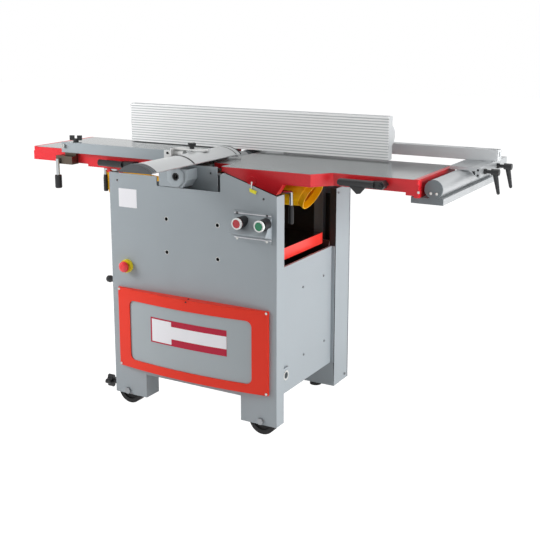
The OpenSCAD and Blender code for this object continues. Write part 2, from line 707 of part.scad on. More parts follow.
module outfeed_table() color(red) difference() {
  low = table_z - skirt_h - 8;
  under = table_z - plate_t;
  union() {
    translate([0, 0, under]) linear_extrude(plate_t) outfeed_outline();
    for (y = [table_y, table_back - skirt_t])
      span([-out_len + 1, y, low], [-lip_reach, y + skirt_t, under + 1]);
    span([-out_len, table_y + 8, low], [-out_len + skirt_t, table_back - 8, under + 1]);
    span([-lip_reach - skirt_t, table_y, low + 6], [-lip_reach, table_back, under + 1]);
    span([deep_skirt[0], table_y, low - 9], [deep_skirt[1], table_y + skirt_t, low + 1]);
    table_ribs(-out_len + skirt_t, -lip_reach - skirt_t, 5, under);
    for (i = [0, 1]) moving_lug(moving_lug_x[i], table_back - 4, low + 2, hinge_z + 10);
    // lugs of the lock shaft, and the stud of the lift lever
    for (x = left_lock_lugs)
      span([x, left_lock_y - 9, left_lock_z - 12], [x + 14, left_lock_y + 9, under + 1]);
    along_y(out_pivot[0], out_pivot[1], out_lever_y - 8, table_y + 1, 10);
  }
  lug_bores(0, 1);
  along_x(left_lock_y, left_lock_z, left_lock_lugs[0] - 1, left_lock_lugs[1] + 15, lock_d + 2 * run_c);
}
// Cranked lock lever: shaft, bend and round grip
module lock_lever(y, z, x0, x1, grip_end, rod_d) {
  color(steel) {
    along_x(y, z, x0, x1, rod_d);
    translate([x1, y, z]) sphere(d = rod_d);
    along_z(x1, y, grip_end + 60, z, rod_d);
  }
  color(black) translate([x1, y, grip_end]) rotate_extrude()
    polygon([[0, 0], [7, 0], [8.5, 3], [8.5, 48], [7, 62], [0, 62]]);
}
right_grip_z = lock_z - 104;
module right_lock_lever() lock_lever(lock_y, lock_z, wedge_x - 40, lock_x, right_grip_z, lock_d);
left_lock_lugs = [-422, -376];
left_lock_y = table_y + skirt_t + 11;
left_lock_z = table_z - skirt_h - 23;
module left_lock_lever() mirror([1, 0, 0]) lock_lever(left_lock_y, left_lock_z,
  -left_lock_lugs[1] - 16, -left_lock_lugs[0] + 15, left_lock_z - 84, lock_d);
// Depth lever: grip, pivot plate and pointer, on a stud in the infeed table's front edge
depth_pivot = [686, in_z - 22];
depth_y = table_y - 30;
grip_d = 24;
module depth_lever() color(black) difference() {
  union() {
    along_x(depth_y, depth_pivot[1], depth_pivot[0] - 140, depth_pivot[0] - 22, grip_d);
    along_x(depth_y, depth_pivot[1], depth_pivot[0] - 146, depth_pivot[0] - 140, grip_d - 6);
    translate([depth_pivot[0], 0, depth_pivot[1]]) {
      plate_xz(depth_y - 5, table_y - slip - depth_y + 5)
        polygon([[-36, -11], [4, -13], [14, 0], [4, 13], [-36, 9]]);
      plate_xz(depth_y - 2, 5) polygon([[-120, 0], [-42, 0], [-70, -32], [-82, -34]]);
    }
  }
  along_y(depth_pivot[0], depth_pivot[1], depth_y - 6, table_y, 10 + 2 * run_c);
}
// Lift lever on the outfeed table's front edge
out_pivot = [-272, table_z - 36];
out_lever_y = arm_y - 4;
module outfeed_lever() color(black) difference() {
  union() {
    along_x(out_lever_y, out_pivot[1], out_pivot[0] - 152, out_pivot[0] - 44, grip_d);
    translate([out_pivot[0], 0, out_pivot[1]]) plate_xz(out_lever_y - 5, table_y - slip - out_lever_y + 5)
      polygon([[-54, -10], [2, -12], [13, 0], [2, 12], [-54, 10]]);
  }
  along_y(out_pivot[0], out_pivot[1], out_lever_y - 6, table_y, 10 + 2 * run_c);
}

// Fence: ribbed face, hollow back and a round bead along the top and foot
fence_left = fence_right - fence_len;
rib_depth = 2;
groove_w = 3.2;
fence_wall = 4;
bead_d = 72;
bead_in = 12;
// Part of the round back bead that lies behind a line
module fence_bead(d, from) intersection() {
  translate([fence_t - bead_in, fence_h * 0.55]) circle(d = d);
  translate([from, 0]) square([bead_d, fence_h]);
}
module fence_section() difference() {
  union() {
    round_rect([0, 0], [fence_t, fence_h], 3);
    fence_bead(bead_d, fence_t / 2);
  }
  for (i = [1:fence_ribs - 1])
    translate([-1, i * fence_h / fence_ribs - groove_w / 2]) square([rib_depth + 1, groove_w]);
}
module fence_hollows() {
  for (z = [fence_wall + 4, fence_h / 2 + 2]) translate([fence_wall + 4, z])
    square([fence_t - 2 * fence_wall - 4, fence_h / 2 - 10]);
  fence_bead(bead_d - 2 * fence_wall, fence_t);
}
module fence_run(x0, x1)
  translate([x0, fence_y, fence_z]) rotate([90, 0, 90]) linear_extrude(x1 - x0) children();
module fence() color(alu) {
  difference() {
    fence_run(fence_left, fence_right) fence_section();
    fence_run(fence_left - 1, fence_right - fence_wall) fence_hollows();
    along_x(tilt_y, tilt_z, tilt_x[0] - slip, tilt_x[1] + slip, 26);
  }
  // knuckles of the tilt hinge
  for (x = [tilt_x[0] - 26, tilt_x[1] + slip]) difference() {
    union() {
      along_x(tilt_y, tilt_z, x, x + 26 - slip, 22);
      span([x, fence_y + fence_t - 1, tilt_z - 4], [x + 26 - slip, tilt_y, tilt_z + 11]);
    }
    along_x(tilt_y, tilt_z, x - 1, x + 27, 10 + 2 * run_c);
  }
}
tilt_x = [40, 110];
// Bracket between the arm and the fence, with the tilt pin
module fence_bracket() color(steel) {
  along_x(tilt_y, tilt_z, tilt_x[0], tilt_x[1], 22);
  along_x(tilt_y, tilt_z, tilt_x[0] - 30, tilt_x[1] + 30, 10);
  span([tilt_x[0], tilt_y, tilt_z - 6], [tilt_x[1], fence_arm_y, tilt_z + 8]);
  span([tilt_x[0], fence_arm_y - 12, tilt_z - 6], [tilt_x[1], fence_arm_y, fence_arm_z + fence_arm_h]);
}
arm_wall = 3;
module fence_arm() color(alu) difference() {
  arm_back = fence_arm_y + fence_arm_d;
  arm_top = fence_arm_z + fence_arm_h;
  span([fence_arm_l, fence_arm_y, fence_arm_z], [fence_arm_r, arm_back, arm_top]);
  span([fence_arm_l - 1, fence_arm_y + arm_wall, fence_arm_z + arm_wall],
    [fence_arm_r - 4, arm_back - arm_wall, arm_top - arm_wall]);
  // slots of the top and the end
  for (x = [fence_arm_r - 120, fence_arm_r - 40])
    span([x, fence_arm_y + 14, arm_top - 5], [x + 34, fence_arm_y + 26, arm_top + 1]);
  span([fence_arm_r - 5, fence_arm_y + 16, fence_arm_z + 14],
    [fence_arm_r + 1, fence_arm_y + 24, fence_arm_z + 30]);
}
// Round rail on a flat foot, bolted under the end of the infeed table
module rail_section() {
  circle(d = rail_d);
  translate([-12, base_z - rail_z + 4]) square([24, rail_z - base_z - 10]);
  translate([-base_w + rail_d / 2 + 2, base_z - rail_z]) square([base_w, base_h]);
}
module rail_extrude(y, len)
  translate([rail_x, y + len, rail_z]) rotate([90, 0, 0]) linear_extrude(len) children();
module fence_rail() color(alu) rail_extrude(rail_y, rail_len) difference() {
  rail_section();
  circle(d = rail_d - 10);
}
module rail_end_cap() color(grey) rail_extrude(rail_y - 4, 4) rail_section();
// Carriage: ribbed plate over the rail with a triangular hollow beam along its right edge
beam_w = 38;
beam_h = 34;
module fence_carriage() color(alu) difference() {
  translate([0, carriage_y + carriage_len, 0]) rotate([90, 0, 0]) linear_extrude(carriage_len) difference() {
    polygon([[carriage_l, carriage_z], [carriage_l, carriage_top], [carriage_r, carriage_top],
      [carriage_r, carriage_top - beam_h], [carriage_r - 8, carriage_top - beam_h],
      [carriage_r - beam_w, carriage_z]]);
    // triangular chamber and the ribs of the top
    polygon([[carriage_r - beam_w + 10, carriage_z - 1], [carriage_r - 16, carriage_z - 1],
      [carriage_r - 16, carriage_z - 18]]);
    for (i = [0:9]) translate([carriage_l + 5 + i * 7, carriage_top - 1]) square([3, 2]);
  }
  // screw ports
  for (z = [carriage_z + 3, carriage_z - 14]) along_y(carriage_r - 7, z, carriage_y - 1, carriage_y + 20, 8);
  for (y = clamp_y) along_x(y, clamp_z, carriage_r - 20, carriage_r + 1, 10 + 2 * run_c);
}
clamp_y = [carriage_y + 46, carriage_y + 188];
clamp_z = carriage_z - 6;
// Ratchet clamp lever: stud, hub and drooping grip
module clamp_lever(y) color(black) translate([carriage_r, y, clamp_z]) {
  rotate([0, 90, 0]) {
    translate([0, 0, -12]) cylinder(h = 12, d = 10);
    cylinder(h = clamp_reach - 18, d = 12);
    translate([0, 0, slip]) cylinder(h = 7, d = 18);
    translate([0, 0, clamp_reach - 22]) cylinder(h = 26, d = 21);
  }
  hull() {
    translate([clamp_reach - 10, 0, -2]) sphere(d = 18, $fn = 24);
    translate([clamp_reach + 2, 4, -clamp_grip + 6]) sphere(d = 11, $fn = 24);
  }
}
module front_clamp_lever() clamp_lever(clamp_y[0]);
module rear_clamp_lever() clamp_lever(clamp_y[1]);

// Guard: a long plate pivoted on the outfeed table carries the arched bridge
pivot_at = [-arm_left + 14, arm_z + 24];
lever_at = [-arm_left - 2, arm_z - 28];
module guard_pivot() color(steel) difference() {
  union() {
    span([-arm_left + 8, arm_y + arm_t + slip, arm_z - 12], [-arm_left + 60, table_y, arm_z + 30]);
    span([-arm_left - 16, arm_y - 14, arm_z - 42], [-arm_left + 60, table_y, arm_z - 12]);
    along_y(pivot_at[0], pivot_at[1], arm_y - 6, table_y, 10);
  }
  along_y(lever_at[0], lever_at[1], arm_y - 16, table_y - 4, 9 + 2 * run_c);
}
wing_x = -arm_left + 58;
module guard_arm() color(grey) difference() {
  union() {
    span([-arm_left, arm_y, arm_z], [arm_right, arm_y + arm_t, arm_z + arm_h]);
    // foot that carries the wing knob
    span([wing_x - 15, arm_y, arm_z + arm_h - 6], [wing_x + 15, arm_y + 30, arm_z + arm_h]);
  }
  along_y(pivot_at[0], pivot_at[1], arm_y - 1, arm_y + arm_t + 1, 10 + 2 * run_c);
  along_z(wing_x, arm_y + 15, arm_z + arm_h - 8, arm_z + arm_h + 1, 8 + 2 * run_c);
}
// Holder: end bracket, round block and the clamp plate over the bridge
clamp_top = guard_z + guard_rise + 5;
slide_x = guard_x - 40;
module guard_holder() color(alu) difference() {
  union() {
    span([arm_right - 26, arm_y - 5, arm_z + 2], [arm_right + 5, arm_y, arm_z + arm_h]);
    span([arm_right, arm_y - 5, table_z + 4], [arm_right + 5, arm_y + 44, clamp_top]);
    along_x(arm_y + 24, arm_z + 27, arm_right + 4, arm_right + 42, 28);
    span([arm_right + 4, arm_y + 12, guard_z + guard_rise + slip], [guard_x + 24, arm_y + 44, clamp_top]);
  }
  along_z(slide_x, arm_y + 30, clamp_top - 9, clamp_top + 1, 8 + 2 * run_c);
}
// Arched hollow section over two low upright edges
arch_edge = 3;
arch_rise = guard_rise - arch_edge;
arch_r = (guard_w * guard_w / 4 + arch_rise * arch_rise) / (2 * arch_rise);
module arch(shrink) intersection() {
  translate([0, guard_rise - arch_r]) circle(arch_r - shrink, $fn = 96);
  translate([-guard_w / 2 + shrink, shrink]) square([guard_w - 2 * shrink, guard_rise]);
}
module arch_extrude(y, len)
  translate([guard_x, y + len, guard_z]) rotate([90, 0, 0]) linear_extrude(len) children();
cap_len = 8;
module bridge_guard() color(alu) arch_extrude(guard_front, guard_len) difference() {
  arch(0);
  arch(2.5);
}
module guard_caps() color(black) {
  for (y = [guard_front - cap_len, guard_front + guard_len]) arch_extrude(y, cap_len) arch(0);
}
// Four-lobed clamping knob on a threaded stud
module star_knob(d, h) {
  cylinder(h = h, d = d * 0.62);
  for (a = [0:90:270]) rotate(a) translate([d * 0.32, 0, 0]) cylinder(h = h, d = d * 0.36);
}
module guard_knob() color(black) translate([slide_x, arm_y + 30, clamp_top]) {
  translate([0, 0, -9]) cylinder(h = 10, d = 8);
  translate([0, 0, slip]) cylinder(h = 8, d = 16);
  translate([0, 0, 8]) star_knob(32, 12);
}
module arm_wing_knob() color(black) translate([wing_x, arm_y + 15, arm_z + arm_h]) {
  translate([0, 0, -5]) cylinder(h = 6, d = 8);
  translate([0, 0, slip]) cylinder(h = 14, d = 20);
  for (a = [20, 200]) rotate(a) translate([6, -4, 8]) cube([17, 8, 18]);
}
module arm_clamp_lever() {
  color(steel) {
    along_y(lever_at[0], lever_at[1], arm_y - 26, arm_y + 16, 9);
    along_z(lever_at[0], arm_y - 22, lever_at[1] - 70, lever_at[1] + 6, 14);
  }
  color(black) translate([lever_at[0], arm_y - 22, lever_at[1] - 104]) rotate_extrude()
    polygon([[0, 0], [11, 0], [13, 3], [13, 46], [11, 50], [0, 50]]);
}

// Switch box: a sloping console with screw flanges at the top and bottom
box_x = [226, 366];
box_low = panel_top - 184;
box_high = panel_top - 84;
box_d = 42;
button_front = -box_d;
module control_box() color(grey) difference() {
  plate_yz(box_x[0], box_x[1] - box_x[0]) polygon([[0, box_low], [-2, box_low], [-2, box_low + 18],
    [-box_d, box_low + 30], [-box_d, box_low + 34], [-6, box_high - 14], [-2, box_high - 14],
    [-2, box_high], [0, box_high]]);
  plate_yz(box_x[0] + 2, box_x[1] - box_x[0] - 4) polygon([[1, box_low + 20], [2 - box_d, box_low + 32],
    [-4, box_high - 19], [1, box_high - 19]]);
  for (x = button_x) along_y(x, button_z, -box_d - 1, -2, button_d + 2 * run_c + 0.2);
}
// Push button: long plunger and a wide cap
module push_button(x) {
  along_y(x, button_z, button_front - button_travel - 8, 8, button_d);
  along_y(x, button_z, button_front - button_travel - 12, button_front - button_travel - 4, button_d + 12);
}
module start_button() color("#1f9a6a") push_button(button_x[1]);
module stop_button() color("#a8323c") push_button(button_x[0]);
// Emergency stop: round base on the panel and a mushroom head
module estop_base() color(yellow) difference() {
  along_y(estop_at[0], estop_at[1], -14, 0, 46);
  along_y(estop_at[0], estop_at[1], -15, 1, 16 + 2 * run_c);
}
module estop_button() color(red) translate([estop_at[0], 0, estop_at[1]]) rotate([90, 0, 0]) {
  translate([0, 0, -18]) cylinder(h = 38, d = 16);
  translate([0, 0, 14 + button_travel + 1]) rotate_extrude()
    polygon([[0, 0], [mushroom_d / 2 - 2, 0], [mushroom_d / 2, 3], [mushroom_d / 2 - 2, 9],
      [mushroom_d / 2 - 8, 13], [0, 14]]);
}
// Front cover: a bowed shell with a wide frame and a recessed window
cover_x = [-254, 356];
cover_z = [147, 435];
cover_bow = 24;
cover_edge = 8;
cover_front = cover_bow + cover_edge;
cover_h = cover_z[1] - cover_z[0];
cover_r = (pow(cover_x[1] - cover_x[0], 2) / 4 + cover_bow * cover_bow) / (2 * cover_bow);
module cover_plan(shrink) intersection() {
  translate([(cover_x[0] + cover_x[1]) / 2, cover_r - cover_front]) circle(cover_r - shrink, $fn = 240);
  translate([cover_x[0] + shrink, -cover_front]) square([cover_x[1] - cover_x[0] - 2 * shrink, cover_front]);
}
window = [[-200, 178], [298, 396]];
module front_cover() color(red) difference() {
  translate([0, 0, cover_z[0]]) linear_extrude(cover_h) cover_plan(0);
  translate([0, 0, cover_z[0] + 3]) linear_extrude(cover_h - 6) cover_plan(3.5);
  plate_xz(-cover_front - 1, cover_front) round_rect(window[0], window[1], 22);
}
module cover_window() color(grey) intersection() {
  translate([0, 0, cover_z[0] + 3 + slip]) linear_extrude(cover_h - 6 - 2 * slip) difference() {
    cover_plan(3.7);
    cover_plan(6.2);
  }
  plate_xz(-cover_front, cover_bow + 4) round_rect(window[0] - [14, 14], window[1] + [14, 14], 22);
}
// Dust hood: a trough under the cutterblock that narrows to a round port
hood_wall = 2.5;
hood_x = [-122, 128];
hood_y = [cheek_f + cheek_t + slip, cheek_r - slip];
hood_z = [axis_z - 90, axis_z - cut_r - 12];
duct_y = [hood_y[0] + 30, hood_y[1] - 60];
flap_x = -455;
flap_y = left_lock_y + 15;
flap_z = [axis_z - 120, axis_z - 35];
// Round length of the sloping port, measured from its mouth
module port_tube(d, from, to) translate([port_x, port_y, port_z]) rotate([0, 90 + port_dip, 0])
  translate([0, 0, from]) cylinder(h = to - from, d = d);
module hood_form(shrink) hull() {
  span([hood_x[1] - 1, duct_y[0] + shrink, hood_z[0] + shrink],
    [hood_x[1], duct_y[1] - shrink, hood_z[1] - shrink]);
  port_tube(port_d + port_rim - 2 * shrink, -port_len, -port_grip - shrink);
}
module dust_hood() color(yellow) difference() {
  union() {
    span([hood_x[0], hood_y[0], hood_z[0]], [hood_x[1], hood_y[1], hood_z[1]]);
    hood_form(0);
    port_tube(port_d, -port_len, 0);
    // wing that shows beside the cabinet, behind the left lock lever
    plate_xz(flap_y, 3) polygon([[hood_x[0] + 1, hood_z[0]], [hood_x[0] + 1, hood_z[1]],
      [-cab_left + 6, flap_z[1]], [flap_x, flap_z[1]], [flap_x + 20, flap_z[0]], [-cab_left + 6, flap_z[0]]]);
  }
  span([hood_x[0] + hood_wall, hood_y[0] + hood_wall, hood_z[0] + hood_wall],
    [hood_x[1] - hood_wall, hood_y[1] - hood_wall, hood_z[1] + 1]);
  hood_form(hood_wall);
  span([hood_x[1] - 4, duct_y[0] + hood_wall, hood_z[0] + hood_wall],
    [hood_x[1] + 1, duct_y[1] - hood_wall, hood_z[1] - hood_wall]);
  port_tube(port_d - 2 * port_wall, -port_len - 1, 1);
}
// Transport wheels behind the front legs
module wheel(x) color(black) difference() {
  along_y(x, axle_z, roll_y, roll_y + roll_w, roll_d);
  for (y = [roll_y - 1, roll_y + roll_w - 6]) difference() {
    along_y(x, axle_z, y, y + 7, roll_d - 30);
    along_y(x, axle_z, y - 1, y + 8, axle_d + 18);
  }
  along_y(x, axle_z, roll_y - 1, roll_y + roll_w + 1, axle_d + 2 * run_c);
}
module left_wheel() wheel(axle_x[0]);
module right_wheel() wheel(axle_x[1]);
module wheel_axles() color(steel) for (x = axle_x) {
  along_y(x, axle_z, 0, roll_y + roll_w + 12, axle_d);
  translate([x, 0, axle_z]) rotate([90, 0, 0]) cylinder(h = 7, d = 24, $fn = 6);
  along_y(x, axle_z, roll_y + roll_w + slip, roll_y + roll_w + 10, axle_d + 12);
}
// Levelling feet under the rear columns, on a folded ledge
foot_in = 115;
foot_back = 38;
foot_x = [-cab_left + foot_in, cab_right - foot_in];
foot_y = cab_depth - foot_back;
foot_d = 44;
foot_h = 10;
foot_stud = 14;
ledge = 50;
module rear_feet() color(black) for (x = foot_x) {
  along_z(x, foot_y, 0, foot_h, foot_d);
  along_z(x, foot_y, foot_h, leg_z, 24);
  along_z(x, foot_y, leg_z, leg_z + 26, foot_stud);
}
module foot_ledges() difference() {
  for (x = foot_x) span([x - ledge, column_y, leg_z], [x + ledge, cab_depth, leg_z + 5]);
  for (x = foot_x) along_z(x, foot_y, leg_z - 1, leg_z + 6, foot_stud + 2 * run_c);
}
// Feed clutch knob low on the left front leg
module clutch_knob() color(black) translate([-cab_left, clutch_at[0], clutch_at[1]]) rotate([0, -90, 0]) {
  translate([0, 0, -sheet_t]) cylinder(h = sheet_t + 35, d = 16);
  translate([0, 0, 34]) star_knob(46, 22);
}

place() front_panel();
place() rear_panel();
place() side_panels();
place() base_tray();
place() machine_cheeks();
place() cutter_bearings();
place() notch_plate();
place() chuck_housing();
place() cutterblock();
place() cutter_inserts();
place() cutter_pulley();
place() drive_motor();
place() motor_pulley();
place() drive_belt();
place() infeed_roller();
place() outfeed_roller();
place() thicknesser_bed();
place() lift_ram();
place() lift_screw();
place() lift_gearbox();
place() handwheel();
place() handwheel_knob();
place() hinge_rail();
place() hinge_pins();
place() infeed_saddle();
place() infeed_table();
place() outfeed_table();
place() depth_lever();
place() outfeed_lever();
place() right_lock_lever();
place() left_lock_lever();
place() fence();
place() fence_bracket();
place() fence_arm();
place() fence_rail();
place() rail_end_cap();
place() fence_carriage();
place() front_clamp_lever();
place() rear_clamp_lever();
place() guard_arm();
place() guard_pivot();
place() guard_holder();
place() bridge_guard();
place() guard_caps();
place() guard_knob();
place() arm_wing_knob();
place() arm_clamp_lever();
place() control_box();
place() start_button();
place() stop_button();
place() estop_base();
place() estop_button();
place() front_cover();
place() cover_window();
place() dust_hood();
place() left_wheel();
place() right_wheel();
place() wheel_axles();
place() rear_feet();
place() clutch_knob();
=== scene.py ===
# Combination planer thicknesser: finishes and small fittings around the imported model
import json
import math

import bmesh
import bpy
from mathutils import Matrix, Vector


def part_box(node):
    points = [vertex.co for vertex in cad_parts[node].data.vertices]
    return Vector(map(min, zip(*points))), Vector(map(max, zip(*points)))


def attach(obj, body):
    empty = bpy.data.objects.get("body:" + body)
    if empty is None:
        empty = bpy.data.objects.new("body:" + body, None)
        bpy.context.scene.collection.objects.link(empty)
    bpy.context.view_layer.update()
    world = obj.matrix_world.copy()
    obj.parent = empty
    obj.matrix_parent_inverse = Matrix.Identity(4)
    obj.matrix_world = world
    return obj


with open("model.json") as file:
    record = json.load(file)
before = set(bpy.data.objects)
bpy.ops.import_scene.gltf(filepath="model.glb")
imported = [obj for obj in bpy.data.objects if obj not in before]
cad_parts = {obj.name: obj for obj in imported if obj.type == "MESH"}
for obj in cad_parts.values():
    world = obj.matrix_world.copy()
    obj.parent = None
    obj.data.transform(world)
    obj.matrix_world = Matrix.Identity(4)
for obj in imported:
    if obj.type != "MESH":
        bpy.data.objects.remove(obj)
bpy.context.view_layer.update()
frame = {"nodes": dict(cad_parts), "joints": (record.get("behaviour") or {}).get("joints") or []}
cutterAxis = next(joint["pos_m"] for joint in frame["joints"] if joint["name"] == "cutter_spin")
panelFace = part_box("front_panel")[0].y
print("frame loaded:", len(frame["nodes"]), "nodes")


# a place in millimetres: x from the cutterblock axis, y from the front panel, z from the floor
def at(x, y, z):
    return Vector((cutterAxis[0] + x / 1000, panelFace + y / 1000, z / 1000))


# camera: fitted to the photograph's table, cabinet and fence corners
view = {"place": (1835, -2582, 1356), "tilt": 78.24, "turn": 29.76, "lens": 64.07, "sensor": 36,
        "shift": -0.0926}
camera = bpy.data.objects.new("camera", bpy.data.cameras.new("camera"))
camera.location = at(*view["place"])
camera.rotation_euler = (math.radians(view["tilt"]), 0, math.radians(view["turn"]))
camera.data.lens = view["lens"]
camera.data.sensor_width = view["sensor"]
camera.data.shift_y = view["shift"]
bpy.context.scene.collection.objects.link(camera)
bpy.context.scene.camera = camera
bpy.context.scene.view_settings.view_transform = "Standard"


# sRGB hex to linear colour
def colour(text):
    parts = [int(text[i:i + 2], 16) / 255 for i in (1, 3, 5)]
    return [c / 12.92 if c <= 0.04045 else ((c + 0.055) / 1.055) ** 2.4 for c in parts] + [1]


# a linear colour made darker or lighter by a share
def tinted(base, share):
    return [min(1, c * share) for c in base[:3]] + [1]


# one node with its settings, its input values and its links
def add(tree, kind, inputs=None, **settings):
    node = tree.nodes.new(kind)
    for key, value in settings.items():
        setattr(node, key, value)
    for key, value in (inputs or {}).items():
        if isinstance(value, bpy.types.NodeSocket):
            tree.links.new(value, node.inputs[key])
        else:
            node.inputs[key].default_value = value
    return node


mixSockets = {"one": 6, "two": 7, "result": 2}  # where a Mix node set to colours has its colours


# the colour between two others, each of them a linear colour or a socket
def blend(tree, factor, one, two):
    inputs = {"Factor": factor, mixSockets["one"]: one, mixSockets["two"]: two}
    return add(tree, "ShaderNodeMix", inputs, data_type="RGBA").outputs[mixSockets["result"]]


# the result of one Math node
def sums(tree, operation, one, two):
    return add(tree, "ShaderNodeMath", {0: one, 1: two}, operation=operation).outputs[0]


# a value carried from one range over to another
def ranged(tree, value, source, target=(0, 1)):
    return add(tree, "ShaderNodeMapRange", {"Value": value, "From Min": source[0], "From Max": source[1],
                                            "To Min": target[0], "To Max": target[1]}).outputs["Result"]


# an empty node material with its output and shader
def newMaterial(name):
    material = bpy.data.materials.new(name)
    material.use_nodes = True
    tree = material.node_tree
    tree.nodes.clear()
    shader = add(tree, "ShaderNodeBsdfPrincipled")
    add(tree, "ShaderNodeOutputMaterial", {"Surface": shader.outputs["BSDF"]})
    return material, tree, shader


def objectSpace(tree):
    return add(tree, "ShaderNodeTexCoord").outputs["Object"]


# noise of the given size in millimetres along x, y and z
def noise(tree, size, detail, rough=0.5):
    space = add(tree, "ShaderNodeMapping", {"Vector": objectSpace(tree), "Scale": [1000 / s for s in size]})
    return add(tree, "ShaderNodeTexNoise", {"Vector": space.outputs["Vector"], "Scale": 1, "Detail": detail,
                                            "Roughness": rough}).outputs["Fac"]


# fine relief over a softened edge: depth of the relief and radius of the edge in millimetres
def relieve(tree, shader, height, strength, depth, edge):
    soft = add(tree, "ShaderNodeBevel", {"Radius": edge / 1000}, samples=4)
    bump = add(tree, "ShaderNodeBump", {"Height": height, "Strength": strength, "Distance": depth / 1000,
                                        "Normal": soft.outputs["Normal"]})
    tree.links.new(bump.outputs["Normal"], shader.inputs["Normal"])


coating = {"drift": [160] * 3, "grainRange": (0.3, 0.7), "gloss": 0.12, "depth": 0.4}


# a coat with slow colour drift, fine grain in the relief and a soft edge
def coat(name, hexColour, rough, grain, relief, drift=0.06, clear=0.0, edge=1.2, shine=0.5):
    material, tree, shader = newMaterial(name)
    fine = noise(tree, grain, 3)
    slow = noise(tree, coating["drift"], 4)
    base = colour(hexColour)
    shade = blend(tree, slow, tinted(base, 1 - drift), tinted(base, 1 + drift))
    tree.links.new(shade, shader.inputs["Base Color"])
    gloss = ranged(tree, fine, coating["grainRange"],
                   (rough * (1 - coating["gloss"]), min(1, rough * (1 + coating["gloss"]))))
    tree.links.new(gloss, shader.inputs["Roughness"])
    relieve(tree, shader, fine, relief, coating["depth"], edge)
    shader.inputs["Coat Weight"].default_value = clear
    shader.inputs["Specular IOR Level"].default_value = shine
    return material


# powder coat on sheet steel: even, satin, with a very fine orange peel; grain drawn coarse enough to show
greyCoat = coat("greyPowderCoat", "#98a0a5", 0.42, [3, 3, 3], 0.10, drift=0.03)
darkCoat = coat("interiorShadowCoat", "#7f8689", 0.5, [3, 3, 3], 0.10)
coverRed = coat("orangeRedPowderCoat", "#e0331f", 0.4, [3, 3, 3], 0.08, drift=0.04, shine=0.25)
windowGrey = coat("greyWindowPaint", "#9da5a9", 0.4, [3, 3, 3], 0.06, drift=0.03)
hoodYellow = coat("yellowHoodEnamel", "#ffbe0c", 0.34, [3, 3, 3], 0.10, drift=0.05, shine=0.3)
# primed and enamelled castings, dull and slightly sandy, and a near-black coat as dull, which is painted shade
# for the dark inside of the cabinet
castGrey = coat("greyPrimedCasting", "#5c6164", 0.6, [2, 2, 2], 0.35, drift=0.12)
castBlack = coat("blackEnamelCasting", "#161718", 0.4, [3, 3, 3], 0.25, drift=0.1)
motorEnamel = coat("darkMotorEnamel", "#3d4347", 0.4, [3, 3, 3], 0.2)
interiorPaintedShade = coat("interiorPaintedShadeBlack", "#1f1a18", 0.6, [3, 3, 3], 0.15, drift=0.15)
# injection-moulded plastics: satin with a light spark-eroded grain; the black one also makes the painted shade
# in the rivet cups
blackPlasticAndPaintedShade = coat("blackMouldedPlasticAndPaintedShade", "#1b1c1e", 0.42, [0.9, 0.9, 0.9], 0.12, drift=0.1, edge=0.8)
capGrey = coat("darkGreyCapPlastic", "#55595c", 0.5, [0.9, 0.9, 0.9], 0.12)
greyPlastic = coat("greyMouldedPlastic", "#70777b", 0.5, [0.9, 0.9, 0.9], 0.12)
yellowPlastic = coat("yellowMouldedPlastic", "#e8d21e", 0.4, [1, 1, 1], 0.08)
whitePlastic = coat("whiteMouldedPlastic", "#e9ebea", 0.35, [1, 1, 1], 0.06, edge=0.5)
# polished plastic of the buttons: glossy under a thin clear skin
redGloss = coat("redGlossPlastic", "#b5242f", 0.22, [1.5, 1.5, 1.5], 0.04, clear=0.3, edge=0.6)
greenGloss = coat("greenGlossPlastic", "#0d7a52", 0.22, [1.5, 1.5, 1.5], 0.04, clear=0.3, edge=0.6)
mushroomRed = coat("mushroomRedPlastic", "#e02a2e", 0.26, [1.5, 1.5, 1.5], 0.04, clear=0.3)
# moulded rubber: dull, with a coarse skin
rubber = coat("blackMouldedRubber", "#1a1a1b", 0.75, [0.8, 0.8, 0.8], 0.3, drift=0.15)
# foil and card: smooth and even; the white foil also makes the painted highlights on the switch console's
# flange edges
plateFoilAndPaintedHighlight = coat("whitePlateFoilAndPaintedHighlight", "#e4e4e8", 0.3, [1, 1, 1], 0.03, drift=0.02, edge=0.3)
plateRed = coat("crimsonPlateFoil", "#b01f3a", 0.3, [1, 1, 1], 0.03, drift=0.04, edge=0.3, shine=0.2)
tagYellow = coat("yellowTagCard", "#e6dc3c", 0.6, [1, 1, 1], 0.05, edge=0.3)

graining = {"rough": 0.65, "grainRange": (0.25, 0.75), "gloss": (0.75, 1.3), "depth": 0.2}


# bare metal with a directional grain: short across the grain, long along it
def bareMetal(name, hexColour, rough, grain, relief, spread=0.08, edge=0.8, metal=1.0):
    material, tree, shader = newMaterial(name)
    lines = noise(tree, grain, 5, graining["rough"])
    base = colour(hexColour)
    shade = blend(tree, lines, tinted(base, 1 - spread), tinted(base, 1 + spread))
    tree.links.new(shade, shader.inputs["Base Color"])
    low, high = graining["gloss"]
    gloss = ranged(tree, lines, graining["grainRange"], (rough * low, min(1, rough * high)))
    tree.links.new(gloss, shader.inputs["Roughness"])
    relieve(tree, shader, lines, relief, graining["depth"], edge)
    shader.inputs["Metallic"].default_value = metal
    return material


# natural anodised extrusion: pale, satin, with faint die lines along its length
aluminiumX = bareMetal("anodisedAluminiumAlongX", "#c3c6c8", 0.42, [400, 1.2, 1.2], 0.06, metal=0.25)
aluminiumY = bareMetal("anodisedAluminiumAlongY", "#bcbfc1", 0.34, [1.2, 400, 1.2], 0.06, metal=0.7)
guardAluminium = bareMetal("brushedGuardAluminium", "#d2d4d5", 0.34, [2.4, 400, 2.4], 0.02,
                           spread=0.03, metal=0.75)
whiteMetal = bareMetal("paleBlastedAluminium", "#dcdddc", 0.5, [1, 1, 1], 0.15, metal=0.2)
